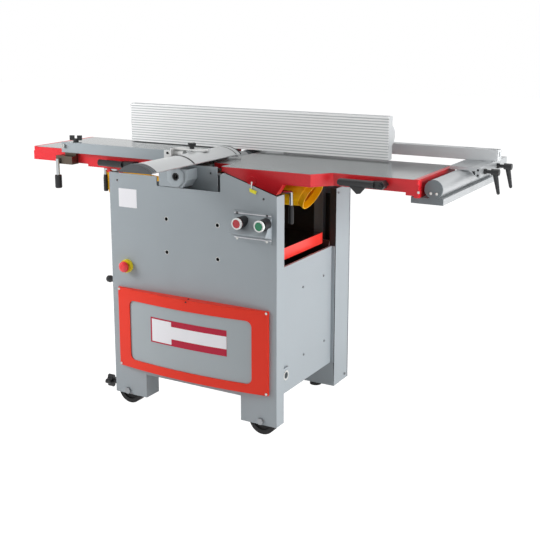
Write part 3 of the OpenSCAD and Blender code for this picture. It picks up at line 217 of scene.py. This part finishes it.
# steel: turned, galvanised, oiled, plated, blackened
turnedSteel = bareMetal("turnedSteel", "#b4b6b8", 0.3, [1, 40, 1], 0.08)
galvanised = bareMetal("galvanisedSteel", "#9a9da0", 0.45, [2, 2, 2], 0.1, metal=0.7)
brownSteel = bareMetal("oiledBracketSteel", "#6f655b", 0.42, [1, 1, 30], 0.12)
chrome = bareMetal("chromePlatedRod", "#bec1c3", 0.12, [4, 4, 4], 0.01, spread=0.02)
zinc = bareMetal("zincPlatedScrew", "#d6d7d4", 0.28, [2, 2, 2], 0.05, edge=0.3)
blackOxide = bareMetal("blackOxideScrew", "#3a3b3d", 0.4, [2, 2, 2], 0.08, edge=0.3)
# cutter inserts: ground carbide
carbide = bareMetal("groundCarbide", "#8e9194", 0.24, [1, 20, 1], 0.06)

# the grooves' grey is painted shade; the pale front colour is painted light
fenceRibs = {"pitch": 9.375, "deep": 2.2, "dark": 1.6, "fade": 5.2, "shade": "#bfc2c4", "body": "#c3c6c8"}


# the fence's own extrusion: grey painted shade in the grooves between its ribs and a paler front as painted
# light; behind them it is plain, in the extrusion's own darker tone
def ribbedAluminium(name, corner, rib):
    # the pale colour given here, carried on as pale, is painted light on the front ribs
    material = bareMetal(name, "#f6f7f7", 0.4, [400, 1.2, 1.2], 0.06, metal=0.2)
    tree = material.node_tree
    shader = next(node for node in tree.nodes if node.type == "BSDF_PRINCIPLED")
    pale = shader.inputs["Base Color"].links[0].from_socket
    place = add(tree, "ShaderNodeSeparateXYZ", {"Vector": objectSpace(tree)})
    above = sums(tree, "SUBTRACT", place.outputs["Z"], corner.z)
    near = sums(tree, "PINGPONG", above, rib["pitch"] / 2000)
    flat = ranged(tree, near, (rib["dark"] / 2000, rib["fade"] / 2000))
    behind = sums(tree, "GREATER_THAN", place.outputs["Y"], corner.y + rib["deep"] / 1000)
    paintedGrooveShade = blend(tree, flat, colour(rib["shade"]), pale)
    tree.links.new(blend(tree, behind, paintedGrooveShade, colour(rib["body"])), shader.inputs["Base Color"])
    return material


fenceAluminium = ribbedAluminium("ribbedAnodisedAluminium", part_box("fence")[0], fenceRibs)

# grinding marks run the length of a table, 1.6 mm apart: drawn coarser than real ones so that they show
casting = {"skin": 0.8, "marks": [700, 1.6, 8], "sand": [3, 3, 3], "steel": ("#888c8d", "#9da1a2"),
           "markRange": (0.3, 0.7), "satin": (0.14, 0.24), "enamelRough": 0.3, "relief": 0.12, "depth": 0.4,
           "edge": 1.5, "tableReds": ("#c4141f", "#dc2730"), "bedRedsPaintedLight": ("#f0382f", "#ff4a40")}


# red casting whose top is ground bright between two places along x: enamel on the sides, bare steel on top
def groundCasting(name, topHeight, bright, reds):
    material, tree, shader = newMaterial(name)
    split = add(tree, "ShaderNodeSeparateXYZ", {"Vector": objectSpace(tree)})
    high = sums(tree, "GREATER_THAN", split.outputs["Z"], topHeight - casting["skin"] / 1000)
    inside = sums(tree, "GREATER_THAN", split.outputs["X"], bright[0])
    before = sums(tree, "LESS_THAN", split.outputs["X"], bright[1])
    ground = sums(tree, "MULTIPLY", high, sums(tree, "MULTIPLY", inside, before))
    marks = noise(tree, casting["marks"], 5)
    sand = noise(tree, casting["sand"], 3)
    steel = blend(tree, marks, *[colour(shade) for shade in casting["steel"]])
    paint = blend(tree, sand, *[colour(shade) for shade in reds])
    tree.links.new(blend(tree, ground, paint, steel), shader.inputs["Base Color"])
    tree.links.new(ground, shader.inputs["Metallic"])
    satin = ranged(tree, marks, casting["markRange"], casting["satin"])
    gloss = add(tree, "ShaderNodeMix", {"Factor": ground, "A": casting["enamelRough"], "B": satin})
    tree.links.new(gloss.outputs[0], shader.inputs["Roughness"])
    relieve(tree, shader, sand, casting["relief"], casting["depth"], casting["edge"])
    return material


rim = {"end": 0.016}  # painted strip left at the outer end of a table, in metres
inLow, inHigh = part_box("infeed_table")
outLow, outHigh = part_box("outfeed_table")
bedLow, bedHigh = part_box("thicknesser_bed")
infeedFinish = groundCasting("infeedGroundCasting", inHigh.z, (inLow.x, inHigh.x - rim["end"]),
                             casting["tableReds"])
outfeedFinish = groundCasting("outfeedGroundCasting", outHigh.z, (outLow.x + rim["end"], outHigh.x),
                              casting["tableReds"])
# the bed's reds are brighter than the tables': painted light, making up for the dim light inside the cabinet
bedFinish = groundCasting("bedGroundCasting", bedHigh.z, (bedLow.x, bedHigh.x), casting["bedRedsPaintedLight"])
print("finishes made:", len(bpy.data.materials))


# gives a node its finish; a second finish goes on the faces that a test picks
def dress(name, material, second=None, test=None):
    mesh = frame["nodes"][name].data
    mesh.materials.clear()
    mesh.materials.append(material)
    if second:
        mesh.materials.append(second)
        for face in mesh.polygons:
            face.material_index = 1 if test(face) else 0


finishes = {
    greyCoat: ["front_panel", "side_panels", "notch_plate", "chuck_housing", "control_box", "guard_arm",
               "hinge_rail"],
    darkCoat: ["base_tray"],
    castGrey: ["machine_cheeks", "cutter_bearings", "lift_gearbox"],
    castBlack: ["infeed_saddle"],
    turnedSteel: ["cutterblock", "cutter_pulley", "motor_pulley", "infeed_roller", "outfeed_roller",
                  "lift_ram", "lift_screw", "hinge_pins", "fence_bracket"],
    galvanised: ["wheel_axles"],
    brownSteel: ["guard_pivot"],
    carbide: ["cutter_inserts"],
    motorEnamel: ["drive_motor"],
    fenceAluminium: ["fence"],
    aluminiumX: ["fence_arm"],
    aluminiumY: ["fence_rail", "fence_carriage"],
    guardAluminium: ["bridge_guard"],
    whiteMetal: ["guard_holder"],
    blackPlasticAndPaintedShade: ["handwheel", "handwheel_knob", "depth_lever", "outfeed_lever", "front_clamp_lever",
                   "rear_clamp_lever", "guard_knob", "arm_wing_knob", "clutch_knob"],
    greyPlastic: ["rail_end_cap"],
    windowGrey: ["cover_window"],
    coverRed: ["front_cover"],
    hoodYellow: ["dust_hood"],
    rubber: ["drive_belt", "left_wheel", "right_wheel", "rear_feet"],
    greenGloss: ["start_button"],
    redGloss: ["stop_button"],
    mushroomRed: ["estop_button"],
    yellowPlastic: ["estop_base"],
    infeedFinish: ["infeed_table"],
    outfeedFinish: ["outfeed_table"],
    bedFinish: ["thicknesser_bed"],
}
for material, names in finishes.items():
    for name in names:
        dress(name, material)
# the hanging levers have a plated rod and a black grip on its lower end, so many metres long
gripLength = {"right_lock_lever": 0.062, "left_lock_lever": 0.062, "arm_clamp_lever": 0.05}
for name, length in gripLength.items():
    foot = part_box(name)[0].z
    dress(name, chrome, blackPlasticAndPaintedShade, lambda face: face.center.z < foot + length)
# the far cap of the guard is black; the near one, in the first 0.1 m, is grey
capSplit = {"behindNear": 0.1}
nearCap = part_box("guard_caps")[0].y + capSplit["behindNear"]
dress("guard_caps", blackPlasticAndPaintedShade, capGrey, lambda face: face.center.y < nearCap)
# the rear panel gets near-black painted shade on the faces that look forward, from 0.25 m up
backSheet = {"facing": -0.5, "above": 0.25}
dress("rear_panel", greyCoat, interiorPaintedShade,
      lambda face: face.normal.y < backSheet["facing"] and face.center.z > backSheet["above"])
print("nodes dressed")


# a finished mesh as a piece that rides on a body
def piece(name, mesh, body, slotName, *materials):
    for material in materials:
        mesh.materials.append(material)
    made = bpy.data.objects.new(name, mesh)
    bpy.context.scene.collection.objects.link(made)
    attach(made, body)
    return made


meshing = {"weld": 1e-6, "corner": 0.6, "bevelSteps": 2, "smoothBelow": 40}


# a mesh from a bmesh, with its normals outwards and its edges rounded by so many millimetres
def toMesh(name, shape, edge=0.0, smooth=True):
    bmesh.ops.remove_doubles(shape, verts=shape.verts, dist=meshing["weld"])
    bmesh.ops.recalc_face_normals(shape, faces=shape.faces)
    if edge:
        sharp = [e for e in shape.edges if len(e.link_faces) == 2 and e.calc_face_angle() > meshing["corner"]]
        bmesh.ops.bevel(shape, geom=sharp, offset=edge / 1000, segments=meshing["bevelSteps"], profile=0.5,
                        affect="EDGES", clamp_overlap=True)
    mesh = bpy.data.meshes.new(name)
    for face in shape.faces:
        face.smooth = smooth
    shape.to_mesh(mesh)
    shape.free()
    mesh.set_sharp_from_angle(angle=math.radians(meshing["smoothBelow"]))
    return mesh


# faces between each ring of points and the next
def joinRings(shape, rings):
    for one, two in zip(rings, rings[1:]):
        for i in range(len(one)):
            j = (i + 1) % len(one)
            shape.faces.new((one[i], one[j], two[j], two[i]))
    return shape


# faces between a row of outlines, with the first and last closed
def lofted(shape, outlines):
    joinRings(shape, outlines)
    shape.faces.new(outlines[0])
    shape.faces.new(outlines[-1])
    return shape


# a solid of revolution: profile points (radius, height) in millimetres, turned round axis at a place
def turned(profile, place, axis, sides=40):
    shape = bmesh.new()
    turn = Vector((0, 0, 1)).rotation_difference(Vector(axis)).to_matrix().to_4x4()
    rings = []
    for radius, height in profile:
        ring = []
        for i in range(sides):
            angle = 2 * math.pi * i / sides
            point = Vector((radius * math.cos(angle), radius * math.sin(angle), height)) / 1000
            ring.append(shape.verts.new(place + turn @ point))
        rings.append(ring)
    closed = profile[0] == profile[-1]
    return joinRings(shape, rings) if closed else lofted(shape, rings)


# profile of a tube, with a bevel on its front outer edge
def tube(inner, outer, deep, bevel=0):
    edge = [(outer, deep - bevel), (outer - bevel, deep)] if bevel else [(outer, deep)]
    return [(inner, 0), (outer, 0)] + edge + [(inner, deep), (inner, 0)]


# a thin plate on the panel: corners rounded, a little proud
def platePiece(low, high, thick, radius, steps):
    shape = bmesh.new()
    corners = [(high[0] - radius, high[1] - radius), (low[0] + radius, high[1] - radius),
               (low[0] + radius, low[1] + radius), (high[0] - radius, low[1] + radius)]
    outline = []
    for quarter, (cx, cz) in enumerate(corners):
        for i in range(steps + 1):
            angle = math.radians(90 * (quarter + i / steps))
            outline.append((cx + radius * math.cos(angle), cz + radius * math.sin(angle)))
    return lofted(shape, [[shape.verts.new(at(x, y, z)) for x, z in outline] for y in (-thick, 0)])


# screw heads on points, each turned to face outwards along the point's own direction
def screwTree():
    tree = bpy.data.node_groups.new("screwField", "GeometryNodeTree")
    for label, kind in (("Points", "NodeSocketGeometry"), ("Head", "NodeSocketObject"),
                        ("Size", "NodeSocketFloat"), ("Finish", "NodeSocketMaterial")):
        tree.interface.new_socket(label, in_out="INPUT", socket_type=kind)
    tree.interface.new_socket("Screws", in_out="OUTPUT", socket_type="NodeSocketGeometry")
    group = add(tree, "NodeGroupInput")
    head = add(tree, "GeometryNodeObjectInfo", {"Object": group.outputs["Head"]})
    facing = add(tree, "GeometryNodeInputNamedAttribute", {"Name": "facing"}, data_type="FLOAT_VECTOR")
    turn = add(tree, "FunctionNodeAlignRotationToVector", {"Vector": facing.outputs["Attribute"]}, axis="Z")
    placed = add(tree, "GeometryNodeInstanceOnPoints", {
        "Points": group.outputs["Points"], "Instance": head.outputs["Geometry"],
        "Rotation": turn.outputs["Rotation"], "Scale": group.outputs["Size"]})
    real = add(tree, "GeometryNodeRealizeInstances", {"Geometry": placed.outputs["Instances"]})
    done = add(tree, "GeometryNodeSetMaterial", {"Geometry": real.outputs["Geometry"],
                                                 "Material": group.outputs["Finish"]})
    add(tree, "NodeGroupOutput", {"Screws": done.outputs["Geometry"]})
    return tree


# pan head in thousandths of its own width: the rim's profile and the floor of the round socket sunk in it
panHead = {"rim": [(240, 260), (340, 300), (460, 240), (500, 120), (500, 0)], "socket": 240, "floor": 120,
           "sides": 18}


def panHeadMesh():
    radius, height, sides = panHead["socket"], panHead["floor"], panHead["sides"]
    profile = [(radius, height)] + panHead["rim"] + [(radius, 0), (radius, height)]
    shape = turned(profile, Vector(), (0, 0, 1), sides)
    floor = []
    for i in range(sides):
        angle = 2 * math.pi * i / sides
        point = Vector((radius * math.cos(angle), radius * math.sin(angle), height)) / 1000
        floor.append(shape.verts.new(point))
    shape.faces.new(floor)
    return toMesh("panHead", shape)


screws = screwTree()
headObject = bpy.data.objects.new("panHead", panHeadMesh())
bpy.context.scene.collection.objects.link(headObject)


# one mesh of screws for a body: places in millimetres with the direction they face
def screwPiece(name, body, slotName, places, size, material):
    mesh = bpy.data.meshes.new(name)
    mesh.from_pydata([at(*place) for place, facing in places], [], [])
    attribute = mesh.attributes.new("facing", "FLOAT_VECTOR", "POINT")
    for value, (place, facing) in zip(attribute.data, places):
        value.vector = facing
    field = bpy.data.objects.new(name + "Points", mesh)
    bpy.context.scene.collection.objects.link(field)
    modifier = field.modifiers.new("screws", "NODES")
    modifier.node_group = screws
    keys = {item.name: item.identifier for item in screws.interface.items_tree if item.in_out == "INPUT"}
    modifier[keys["Head"]] = headObject
    modifier[keys["Size"]] = size / 1000
    modifier[keys["Finish"]] = material
    evaluated = field.evaluated_get(bpy.context.evaluated_depsgraph_get())
    made = bpy.data.meshes.new_from_object(evaluated)
    bpy.data.objects.remove(field)
    return piece(name, made, body, slotName)


front, back, right, up = (0, -1, 0), (0, 1, 0), (1, 0, 0), (0, 0, 1)
# each set of screws: its body, head width, finish and places with the direction they face
screwSets = {
    "coverScrews": ("cabinet", 9, zinc, [((x, -9, z), front) for x in (-248, 350) for z in (153, 429)]),
    "coverPins": ("cabinet", 6, blackOxide, [((51, -16, 435), up), ((51, -32, 429), front)]),
    "sideScrews": ("cabinet", 9, galvanised,
                   [((368, y, z), right) for y, z in ((210, 467), (365, 471), (217, 224), (375, 227))]
                   + [((383.6, y, z), right) for y, z in ((521, 57), (446, 757))]),
    "boxScrews": ("cabinet", 8, blackOxide, [((x, -2, 749), front) for x in (238, 349)]),
    "boxLowScrews": ("cabinet", 9, zinc, [((x, -2, 665), front) for x in (238, 349)]),
    "railScrews": ("infeed", 9, zinc,
                   [((797, 145, 841), front), ((829, 166, 838), front), ((848, 166, 838), front)]),
    "liftBolt": ("lift_handle", 15, zinc, [((-272, 112.7, 848), front)]),
    "depthBolt": ("depth_handle", 14, blackOxide, [((686, 108.6, 858), front)]),
    "armBolt": ("outfeed", 14, zinc, [((-592, 117, 898), front)]),
    "holderBolt": ("guard_support", 9, blackOxide, [((-119, 118, 904), front)]),
}
for name, (body, size, material, places) in screwSets.items():
    screwPiece(name, body, "machined_steel", places, size, material)
bpy.data.objects.remove(headObject)
print("screws placed")

# blank rating plate
ratingPlate = {"low": (-244, 723), "high": (-167, 788), "thick": 0.6, "radius": 1, "steps": 6}
shape = platePiece(**ratingPlate)
piece("ratingPlate", toMesh("ratingPlate", shape, smooth=False), "cabinet", "sheet_paint", plateFoilAndPaintedHighlight)

# plain foil plate on the cover window: a crimson ground with white fields, all along the window's bow
# each field is (name, low corner, high corner, how far it stands off, thickness, finish)
windowPlate = {"centre": 51, "radius": 1946.3, "back": 1918, "steps": 16, "fields": [
    ("plateGround", (-104, 262), (206, 352), 0.0, 0.8, plateRed),
    ("plateBlock", (-98, 267), (-14, 347), 0.7, 0.3, plateFoilAndPaintedHighlight),
    ("plateBand", (-14, 287), (206, 331), 0.7, 0.3, plateFoilAndPaintedHighlight)]}
for name, low, high, lift, thick, material in windowPlate["fields"]:
    shape = bmesh.new()
    columns = []
    for i in range(windowPlate["steps"] + 1):
        x = low[0] + (high[0] - low[0]) * i / windowPlate["steps"]
        bow = math.sqrt(windowPlate["radius"] ** 2 - (x - windowPlate["centre"]) ** 2)
        y = windowPlate["back"] - bow - lift
        columns.append([shape.verts.new(at(x, y - d, z)) for d, z in (
            (0, low[1]), (thick, low[1]), (thick, high[1]), (0, high[1]))])
    piece(name, toMesh(name, lofted(shape, columns), smooth=False), "cabinet", "red_cover", material)

# push buttons: a black barrel fixed on the console and a white ring that moves with the cap
# each is (inner radius, outer radius, y of its back, y of its face)
barrels = {"x": {"start": 351, "stop": 269}, "z": 725, "bevel": 1.2,
           "barrel": (13, 19, -10, -45), "ring": (14, 18.6, -52, -59)}
for body, x in barrels["x"].items():
    for part, rider, slotName, material in (("barrel", "cabinet", "black_plastic", blackPlasticAndPaintedShade),
                                            ("ring", body, "black_plastic", whitePlastic)):
        inner, outer, rear, face = barrels[part]
        made = turned(tube(inner, outer, rear - face, barrels["bevel"]), at(x, rear, barrels["z"]), front)
        name = body + part.capitalize()
        piece(name, toMesh(name, made), rider, slotName, material)

# blind rivet nuts behind the holes of the panel, each with a plated rim; the cups are black as painted shade,
# standing in for the shade inside the holes
rivetNuts = {"places": [(x, z) for x in (-44.5, 160.5) for z in (583.5, 698.5)],
             "cup": {"inner": 8, "outer": 9, "deep": 16, "y": 3.2, "sides": 24},
             "rim": {"inner": 6.6, "outer": 8.4, "thick": 0.6, "sides": 28}}
for i, (x, z) in enumerate(rivetNuts["places"]):
    cup, plated = rivetNuts["cup"], rivetNuts["rim"]
    inner, outer, deep = cup["inner"], cup["outer"], cup["deep"]
    shape = turned([(inner, 0), (inner, deep), (outer, deep), (outer, 0)],
                   at(x, cup["y"], z), back, cup["sides"])
    piece("rivetCup%d" % i, toMesh("rivetCup%d" % i, shape), "cabinet", "black_plastic", blackPlasticAndPaintedShade)
    inner, outer, thick = plated["inner"], plated["outer"], plated["thick"]
    shape = turned([(inner, 0), (outer, 0), (outer - thick, thick), (inner, thick), (inner, 0)],
                   at(x, 0, z), front, plated["sides"])
    piece("rivetRim%d" % i, toMesh("rivetRim%d" % i, shape), "cabinet", "machined_steel", zinc)

# bands over the arch of the bridge guard: grey cap skirt with ribs, strap at the holder, line near the far end
# each band is (name, near y, far y, thickness, finish)
archBands = {"z": 819.93, "radius": 95.07, "half": 40.4, "steps": 28, "bands": [
    ("capSkirt", -221, -190, 0.9, capGrey), ("capRibA", -212, -209, 1.7, greyPlastic),
    ("capRibB", -202, -199, 1.7, greyPlastic), ("guardStrap", 15, 20, 1.4, blackPlasticAndPaintedShade),
    ("guardLine", 278, 283, 0.2, blackPlasticAndPaintedShade)]}
for name, near, far, skin, material in archBands["bands"]:
    shape = bmesh.new()
    columns = []
    for i in range(archBands["steps"] + 1):
        angle = math.radians(archBands["half"] * (2 * i / archBands["steps"] - 1))
        columns.append([shape.verts.new(at(r * math.sin(angle), y, archBands["z"] + r * math.cos(angle)))
                        for r, y in ((archBands["radius"], near), (archBands["radius"] + skin, near),
                                     (archBands["radius"] + skin, far), (archBands["radius"], far))])
    piece(name, toMesh(name, lofted(shape, columns)), "bridge", "black_plastic", material)

# blank yellow tag on a white tie, hung in the gap beside the infeed wedge
hangTag = {
    "hangTag": {"outline": [(285, 833), (311, 825), (308, 814), (285, 821)], "y": (-2.6, -2.0),
                "finish": tagYellow},
    "hangTie": {"outline": [(291, 854), (295, 854), (292, 829), (289, 829)], "y": (-2.0, -1.0),
                "finish": whitePlastic},
}
for name, card in hangTag.items():
    shape = bmesh.new()
    outlines = [[shape.verts.new(at(x, y, z)) for x, z in card["outline"]] for y in card["y"]]
    mesh = toMesh(name, lofted(shape, outlines), smooth=False)
    piece(name, mesh, "cabinet", "yellow_plastic", card["finish"])

# painted highlights on the folded edges of the switch console's flanges: pale strips where the light catches
# them
consoleHighlight = {"x": (227, 365), "thick": 1.0, "wide": 3.5, "z": (747, 667), "y": -2}
for i, z in enumerate(consoleHighlight["z"]):
    shape = bmesh.new()
    thick, wide = consoleHighlight["thick"], consoleHighlight["wide"]
    outlines = [[shape.verts.new(at(x, consoleHighlight["y"] - d, z + h))
                 for d, h in ((0, 0), (thick, 0), (thick, wide), (0, wide))] for x in consoleHighlight["x"]]
    name = "consoleEdge%d" % i
    piece(name, toMesh(name, lofted(shape, outlines), smooth=False), "cabinet", "sheet_paint", plateFoilAndPaintedHighlight)

# eight-sided face of the chuck housing round its mouth
chuckFace = {"across": 66, "mouth": 13.2, "y": (-2, -5), "sides": 8, "z": cutterAxis[2] * 1000, "edge": 0.8}
shape = bmesh.new()
rear, face = chuckFace["y"]
step = 2 * math.pi / chuckFace["sides"]
rings = []
for radius, y in ((chuckFace["across"] / 2, rear), (chuckFace["across"] / 2, face),
                  (chuckFace["mouth"], face), (chuckFace["mouth"], rear)):
    corner = radius / math.cos(step / 2)
    rings.append([shape.verts.new(at(corner * math.cos((i + 0.5) * step), y,
                                     chuckFace["z"] + corner * math.sin((i + 0.5) * step)))
                  for i in range(chuckFace["sides"])])
joinRings(shape, rings + rings[:1])
piece("chuckFace", toMesh("chuckFace", shape, chuckFace["edge"]), "cabinet", "sheet_paint", greyCoat)

# black bush in the mouth
chuckBush = {"inner": 8.4, "outer": 12.9, "deep": 6, "y": 2, "sides": 32, "edge": 0.5}
shape = turned(tube(chuckBush["inner"], chuckBush["outer"], chuckBush["deep"]),
               at(0, chuckBush["y"], chuckFace["z"]), front, chuckBush["sides"])
piece("chuckBush", toMesh("chuckBush", shape, chuckBush["edge"]), "cabinet", "black_plastic", blackPlasticAndPaintedShade)

# washer ring round the lifting socket
socketRing = {"place": (376, 76, 196), "inner": 11.4, "outer": 17, "thick": 1.6, "sides": 32}
shape = turned(tube(socketRing["inner"], socketRing["outer"], socketRing["thick"]),
               at(*socketRing["place"]), right, socketRing["sides"])
piece("socketRing", toMesh("socketRing", shape), "cabinet", "machined_steel", zinc)
print("plates, barrels and bands placed")

# studio: three soft lamps, of which the front and side ones are not mirrored in the bright metal
lamps = {
    "frontSoft": {"place": (-1650, -1000, 1400), "aim": (-60, 100, 600), "size": 1.2, "power": 40,
                  "mirrored": False},
    "sideSoft": {"place": (2300, 250, 850), "aim": (380, 250, 520), "size": 1.2, "power": 41,
                 "mirrored": False},
    "topSoft": {"place": (0, 400, 3600), "aim": (0, 300, 600), "size": 2.6, "power": 34, "mirrored": True},
}
for name, lamp in lamps.items():
    light = bpy.data.lights.new(name, "AREA")
    light.size = lamp["size"]
    light.energy = lamp["power"]
    holder = bpy.data.objects.new(name, light)
    holder.visible_glossy = lamp["mirrored"]
    holder.location = at(*lamp["place"])
    holder.rotation_euler = (at(*lamp["aim"]) - holder.location).to_track_quat("-Z", "Y").to_euler()
    bpy.context.scene.collection.objects.link(holder)

# sky: a low even fill; what is seen or mirrored is a white horizon that dims toward the studio ceiling
skyLook = {"fill": 0.22, "heights": (0.35, 0.85), "shown": (1.0, 0.45), "white": "#ffffff"}
world = bpy.data.worlds.new("studio")
bpy.context.scene.world = world
world.use_nodes = True
sky = world.node_tree
sky.nodes.clear()
path = add(sky, "ShaderNodeLightPath")
direct = sums(sky, "MAXIMUM", path.outputs["Is Camera Ray"], path.outputs["Is Glossy Ray"])
seen = sums(sky, "MAXIMUM", direct, path.outputs["Is Transmission Ray"])
aim = add(sky, "ShaderNodeSeparateXYZ", {"Vector": add(sky, "ShaderNodeTexCoord").outputs["Generated"]})
ceiling = ranged(sky, aim.outputs["Z"], skyLook["heights"], skyLook["shown"])
level = ranged(sky, seen, (0, 1), (skyLook["fill"], ceiling))
glow = add(sky, "ShaderNodeBackground", {"Color": colour(skyLook["white"]), "Strength": level})
add(sky, "ShaderNodeOutputWorld", {"Surface": glow.outputs["Background"]})

# floor: four fifths of what is seen or mirrored is plain white, and the rest keeps the shadow
floorLook = {"reach": 14, "paint": "#f4f4f4", "rough": 0.9, "share": 0.8, "white": "#ffffff", "glow": 1.26}
floorMesh = bpy.data.meshes.new("floor")
floorMesh.from_pydata([(x * floorLook["reach"], y * floorLook["reach"], 0)
                       for x, y in ((-1, -1), (1, -1), (1, 1), (-1, 1))], [], [(0, 1, 2, 3)])
floor = bpy.data.objects.new("floor", floorMesh)
bpy.context.scene.collection.objects.link(floor)
floorPaint, floorTree, floorShader = newMaterial("paleStudioFloor")
floorShader.inputs["Base Color"].default_value = colour(floorLook["paint"])
floorShader.inputs["Roughness"].default_value = floorLook["rough"]
path = add(floorTree, "ShaderNodeLightPath")
seen = sums(floorTree, "MAXIMUM", path.outputs["Is Camera Ray"], path.outputs["Is Glossy Ray"])
share = sums(floorTree, "MULTIPLY", seen, floorLook["share"])
white = add(floorTree, "ShaderNodeEmission", {"Color": colour(floorLook["white"]),
                                              "Strength": floorLook["glow"]})
mixed = add(floorTree, "ShaderNodeMixShader", {0: share, 1: floorShader.outputs["BSDF"],
                                               2: white.outputs["Emission"]})
output = next(node for node in floorTree.nodes if node.type == "OUTPUT_MATERIAL")
floorTree.links.new(mixed.outputs["Shader"], output.inputs["Surface"])
floorMesh.materials.append(floorPaint)
print("studio set")
